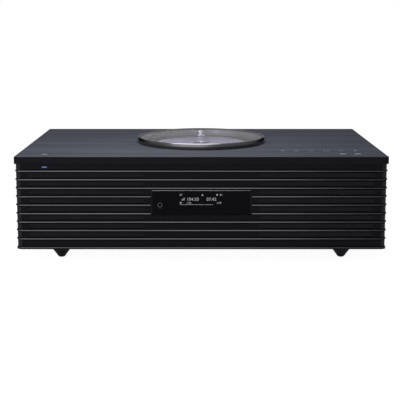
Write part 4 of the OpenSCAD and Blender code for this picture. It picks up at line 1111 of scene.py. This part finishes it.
def make_lid():
    inner = LID_R - LID_RIM
    upper = LID_R - LID_LEAN - LID_EDGE
    under = LID_TOP - LID_T
    bevel = 0.3
    fillet = 0.4
    # The lid's upright lower band is a darker copy of its finish, painted shade at its foot.
    pane, wall, shaded_foot, skirt, edge = range(5)
    rows = [
        (0, under, pane),
        (inner - fillet, under, wall),
        (inner, under - fillet, wall),
        (inner, LID_LOW + bevel, wall),
        (inner + bevel, LID_LOW, wall),
        (LID_R - bevel, LID_LOW, shaded_foot),
        (LID_R, LID_LOW + bevel, shaded_foot),
        (LID_R, LID_LOW + LID_WALL, skirt),
        # The top edge takes a lighter copy of the rim's finish, a painted highlight.
        (LID_R - LID_LEAN, LID_TOP - LID_EDGE, edge),
        (upper, LID_TOP, edge),
        (upper - fillet, LID_TOP, pane),
        (0, LID_TOP, pane),
    ]
    marks = by_row([mark for _, _, mark in rows[:-1]], LARGE_ROUND)
    lid = Shape().add(*lathe([(r, z) for r, z, _ in rows], LARGE_ROUND), marks)
    finishes = [lid_pane, lid_wall, lid_foot_shade, lid_skirt, lid_edge_highlight]
    piece("lid_cover", lid, finishes, "lid", ["disc_lid"], sharp=25)


def make_post():
    clearance = 0.02
    top = LID_TOP - LID_T - clearance
    flange = POST_LOW + POST_FLANGE
    bevel = 0.4
    small_bevel = 0.3
    wide, slim = POST_NECK
    profile = [
        (0, POST_LOW),
        (POST_R - bevel, POST_LOW),
        (POST_R, POST_LOW + bevel),
        (POST_R, flange - small_bevel),
        (POST_R - small_bevel, flange),
        (wide, flange),
        (slim, top - bevel),
        (slim - bevel, top),
        (0, top),
    ]
    shaft_r = 4.0
    shaft_low = POST_BOX.low.z
    shaft = [
        (0, shaft_low),
        (shaft_r - bevel, shaft_low),
        (shaft_r, shaft_low + bevel),
        (shaft_r, POST_LOW),
        (0, POST_LOW),
    ]
    polished, satin = 0, 1
    marks = by_row([polished] + [satin] * 4 + [polished] * 3, ROUND)
    post = Shape().add(*lathe(profile, ROUND), marks)
    post.add(*lathe(shaft, SMALL_ROUND), polished)
    key_half = 0.42
    key_low = flange - 0.2
    key_high = top - 0.45
    key_back = 2 - slim
    key = [(bevel - POST_R, key_low), (-0.05 - slim, key_high), (key_back, key_high), (key_back, key_low)]
    key_verts = [(x, y, z) for x in (-key_half, key_half) for y, z in key]
    key_sides = [[i, (i + 1) % 4, (i + 1) % 4 + 4, i + 4] for i in range(4)]
    post.add(key_verts, [[0, 1, 2, 3], [4, 5, 6, 7], *key_sides], satin)
    finishes = [post_metal, bore_metal]
    at = (0, PIVOT_Y, 0)
    piece("lid_post", post, finishes, "lid", ["pivot_post"], origin=at)


def make_disc():
    low, high = DISC_Z
    data_in = 11.5
    data_out = 58.6
    edge = 0.1
    ring = (9.1, 9.5, 9.9)
    ring_dip = 0.15
    clear_in = [
        (DISC_HOLE_R, low + edge),
        (DISC_HOLE_R + edge, low),
        (ring[0], low),
        (ring[1], low - ring_dip),
        (ring[2], low),
        (data_in, low),
        (data_in, high),
        (ring[2], high),
        (ring[1], high - ring_dip),
        (ring[0], high),
        (DISC_HOLE_R + edge, high),
        (DISC_HOLE_R, high - edge),
    ]
    silver = [(data_in, low), (data_out, low), (data_out, high), (data_in, high)]
    clear_out = [
        (data_out, low),
        (DISC_R - edge, low),
        (DISC_R, low + edge),
        (DISC_R, high - edge),
        (DISC_R - edge, high),
        (data_out, high),
    ]
    disc = Shape()
    disc.add(*lathe(clear_in, 2 * ROUND, closed=True), 1)
    disc.add(*lathe(silver, LARGE_ROUND, closed=True), 0)
    disc.add(*lathe(clear_out, LARGE_ROUND, closed=True), 1)
    piece("disc", disc, [disc_silver, disc_clear], "rotor", ["compact_disc"])


def make_hub():
    base = HUB_BOX.low.z
    top = HUB_BOX.high.z
    low, high = DISC_Z
    shaft_r = 1.0
    table_r = HUB_BOX.high.x
    table_t = 2.0
    bevel = 0.4
    clearance = 0.1
    spigot = DISC_HOLE_R - clearance
    shoulder = high + 0.9
    recess_r = 3.0
    recess = shoulder - 0.2
    profile = [
        (0, base),
        (shaft_r, base),
        (shaft_r, low - table_t),
        (table_r - bevel, low - table_t),
        (table_r, low - table_t + bevel),
        (table_r, low),
        (spigot, low),
        (spigot, high + 0.3),
        (spigot - 0.6, shoulder - 0.1),
        (spigot - 0.9, shoulder),
        (recess_r, shoulder),
        (recess_r - 0.1, recess),
        (0, recess),
    ]
    cap = [
        (0, recess - 0.1),
        (2.8, recess - 0.1),
        (2.7, shoulder + 0.2),
        (2.2, top - 0.35),
        (1.3, top - 0.08),
        (0, top),
    ]
    # The flat top ring (face) is painted lighter than the dark sides: painted light on the hub's top.
    dark, bright, face = range(3)
    steps = 2 * SMALL_ROUND
    hub = Shape().add(*lathe(profile, steps), by_row([dark] * 9 + [face] + [dark] * 2, steps))
    hub.add(*lathe(cap, SMALL_ROUND), bright)
    grips = 3
    verts, faces = block((spigot - 1.0, -1.2, low - 0.5), (spigot + 0.08, 1.2, high + 0.5))
    for i in range(grips):
        c = math.cos(2 * math.pi * i / grips)
        s = math.sin(2 * math.pi * i / grips)
        hub.add([(x * c - y * s, x * s + y * c, z) for x, y, z in verts], faces, dark)
    piece("hub", hub, [hub_dark, bright_metal, hub_top_painted_light], "rotor", ["turntable_hub"])


make_lid()
make_post()
make_disc()
make_hub()


# Feet: turned cones with a groove under the base and a rounded tip


def make_feet():
    tip = [(0, 0), (3.0, 0), (3.8, 0.3), (4.7, 1.2), (5.5, 2.4)]
    flare = [(14.8, 15.2), (15.6, 16.2), (FOOT_R, 17.2)]
    groove = [(FOOT_R, 19.4), (FOOT_R - 0.5, 19.7), (FOOT_R - 0.5, 20.5), (FOOT_R, 20.8)]
    top = [(FOOT_R, FOOT_H - 0.4), (FOOT_R - 0.4, FOOT_H), (0, FOOT_H)]
    feet = Shape()
    for x in (-FOOT_AT[0], FOOT_AT[0]):
        for y in (-FOOT_AT[1], FOOT_AT[1]):
            feet.add(*lathe(tip + flare + groove + top, ROUND), at=(x, y, 0))
    piece("cone_feet", feet, [foot_rubber], "case", ["feet"], sharp=30)


make_feet()


# Camera, lights, floor and world

CAMERA_AT = (-1.6, -1263.9, 304.9)
CAMERA_DOWN = 0.1565
CAMERA_LENS = 85.5
CAMERA_SHIFT = -0.0922


def make_camera():
    data = bpy.data.cameras.new("camera")
    data.lens = CAMERA_LENS
    data.sensor_width = 36.0
    data.shift_y = CAMERA_SHIFT
    camera = bpy.data.objects.new("camera", data)
    camera.location = [MM * c for c in CAMERA_AT]
    camera.rotation_euler = (math.pi / 2 - CAMERA_DOWN, 0, 0)
    bpy.context.scene.collection.objects.link(camera)
    bpy.context.scene.camera = camera


def area_light(name, at, target, size, radiance):
    """A soft box of an even brightness, in metres."""
    data = bpy.data.lights.new(name, "AREA")
    data.shape = "RECTANGLE"
    data.size, data.size_y = size
    data.energy = radiance * math.pi * size[0] * size[1]
    light = bpy.data.objects.new(name, data)
    light.location = at
    light.rotation_euler = (Vector(target) - Vector(at)).to_track_quat("-Z", "Y").to_euler()
    light.visible_camera = False
    bpy.context.scene.collection.objects.link(light)


def seen_as_background(tree):
    """1 for the rays that show the background: camera, glossy and transmission rays."""
    rays = node(tree, "ShaderNodeLightPath").outputs
    shown = rays["Is Camera Ray"]
    for kind in ("Is Glossy Ray", "Is Transmission Ray"):
        shown = node(tree, "ShaderNodeMath", {0: shown, 1: rays[kind]}, operation="MAXIMUM").outputs[0]
    return shown


def make_floor():
    half = 30.0
    mesh = bpy.data.meshes.new("floor")
    corners = [(-half, -half, 0), (half, -half, 0), (half, half, 0), (-half, half, 0)]
    mesh.from_pydata(corners, [], [[0, 1, 2, 3]])
    floor = bpy.data.objects.new("floor", mesh)
    bpy.context.scene.collection.objects.link(floor)
    material = bpy.data.materials.new("floor_pale")
    material.use_nodes = True
    tree = material.node_tree
    tree.nodes.clear()
    plain = node(tree, "ShaderNodeBsdfDiffuse", {"Color": (0.8, 0.8, 0.8, 1)})
    shaded = node(tree, "ShaderNodeBsdfDiffuse", {"Color": (0.16, 0.16, 0.16, 1)})
    white = node(tree, "ShaderNodeEmission", {"Color": (1, 1, 1, 1), "Strength": 0.945})
    lit = node(tree, "ShaderNodeAddShader", {0: shaded.outputs[0], 1: white.outputs[0]})
    mixed = node(
        tree, "ShaderNodeMixShader", {0: seen_as_background(tree), 1: plain.outputs[0], 2: lit.outputs[0]}
    )
    node(tree, "ShaderNodeOutputMaterial", {"Surface": mixed.outputs[0]})
    mesh.materials.append(material)


def make_world():
    world = bpy.data.worlds.new("studio")
    bpy.context.scene.world = world
    world.use_nodes = True
    tree = world.node_tree
    tree.nodes.clear()
    level = span(tree, seen_as_background(tree), 0.35, 1.0)
    background = node(tree, "ShaderNodeBackground", {"Color": (1, 1, 1, 1), "Strength": level})
    node(tree, "ShaderNodeOutputWorld", {"Surface": background.outputs[0]})


make_camera()
area_light("overhead", (-0.25, -0.20, 1.40), (-0.05, 0.0, 0.1), size=(0.9, 0.7), radiance=2.0)
area_light("front_left", (-0.62, -1.58, 0.68), (0.0, 0.0, 0.1), size=(2.3, 0.9), radiance=4.5)
area_light(
    "plate_light", (-0.045, -0.07, 0.475), (-0.045, -0.07, 0.135), size=(0.35, 0.33), radiance=6.2
)
make_floor()
make_world()
bpy.context.scene.view_settings.view_transform = "Standard"
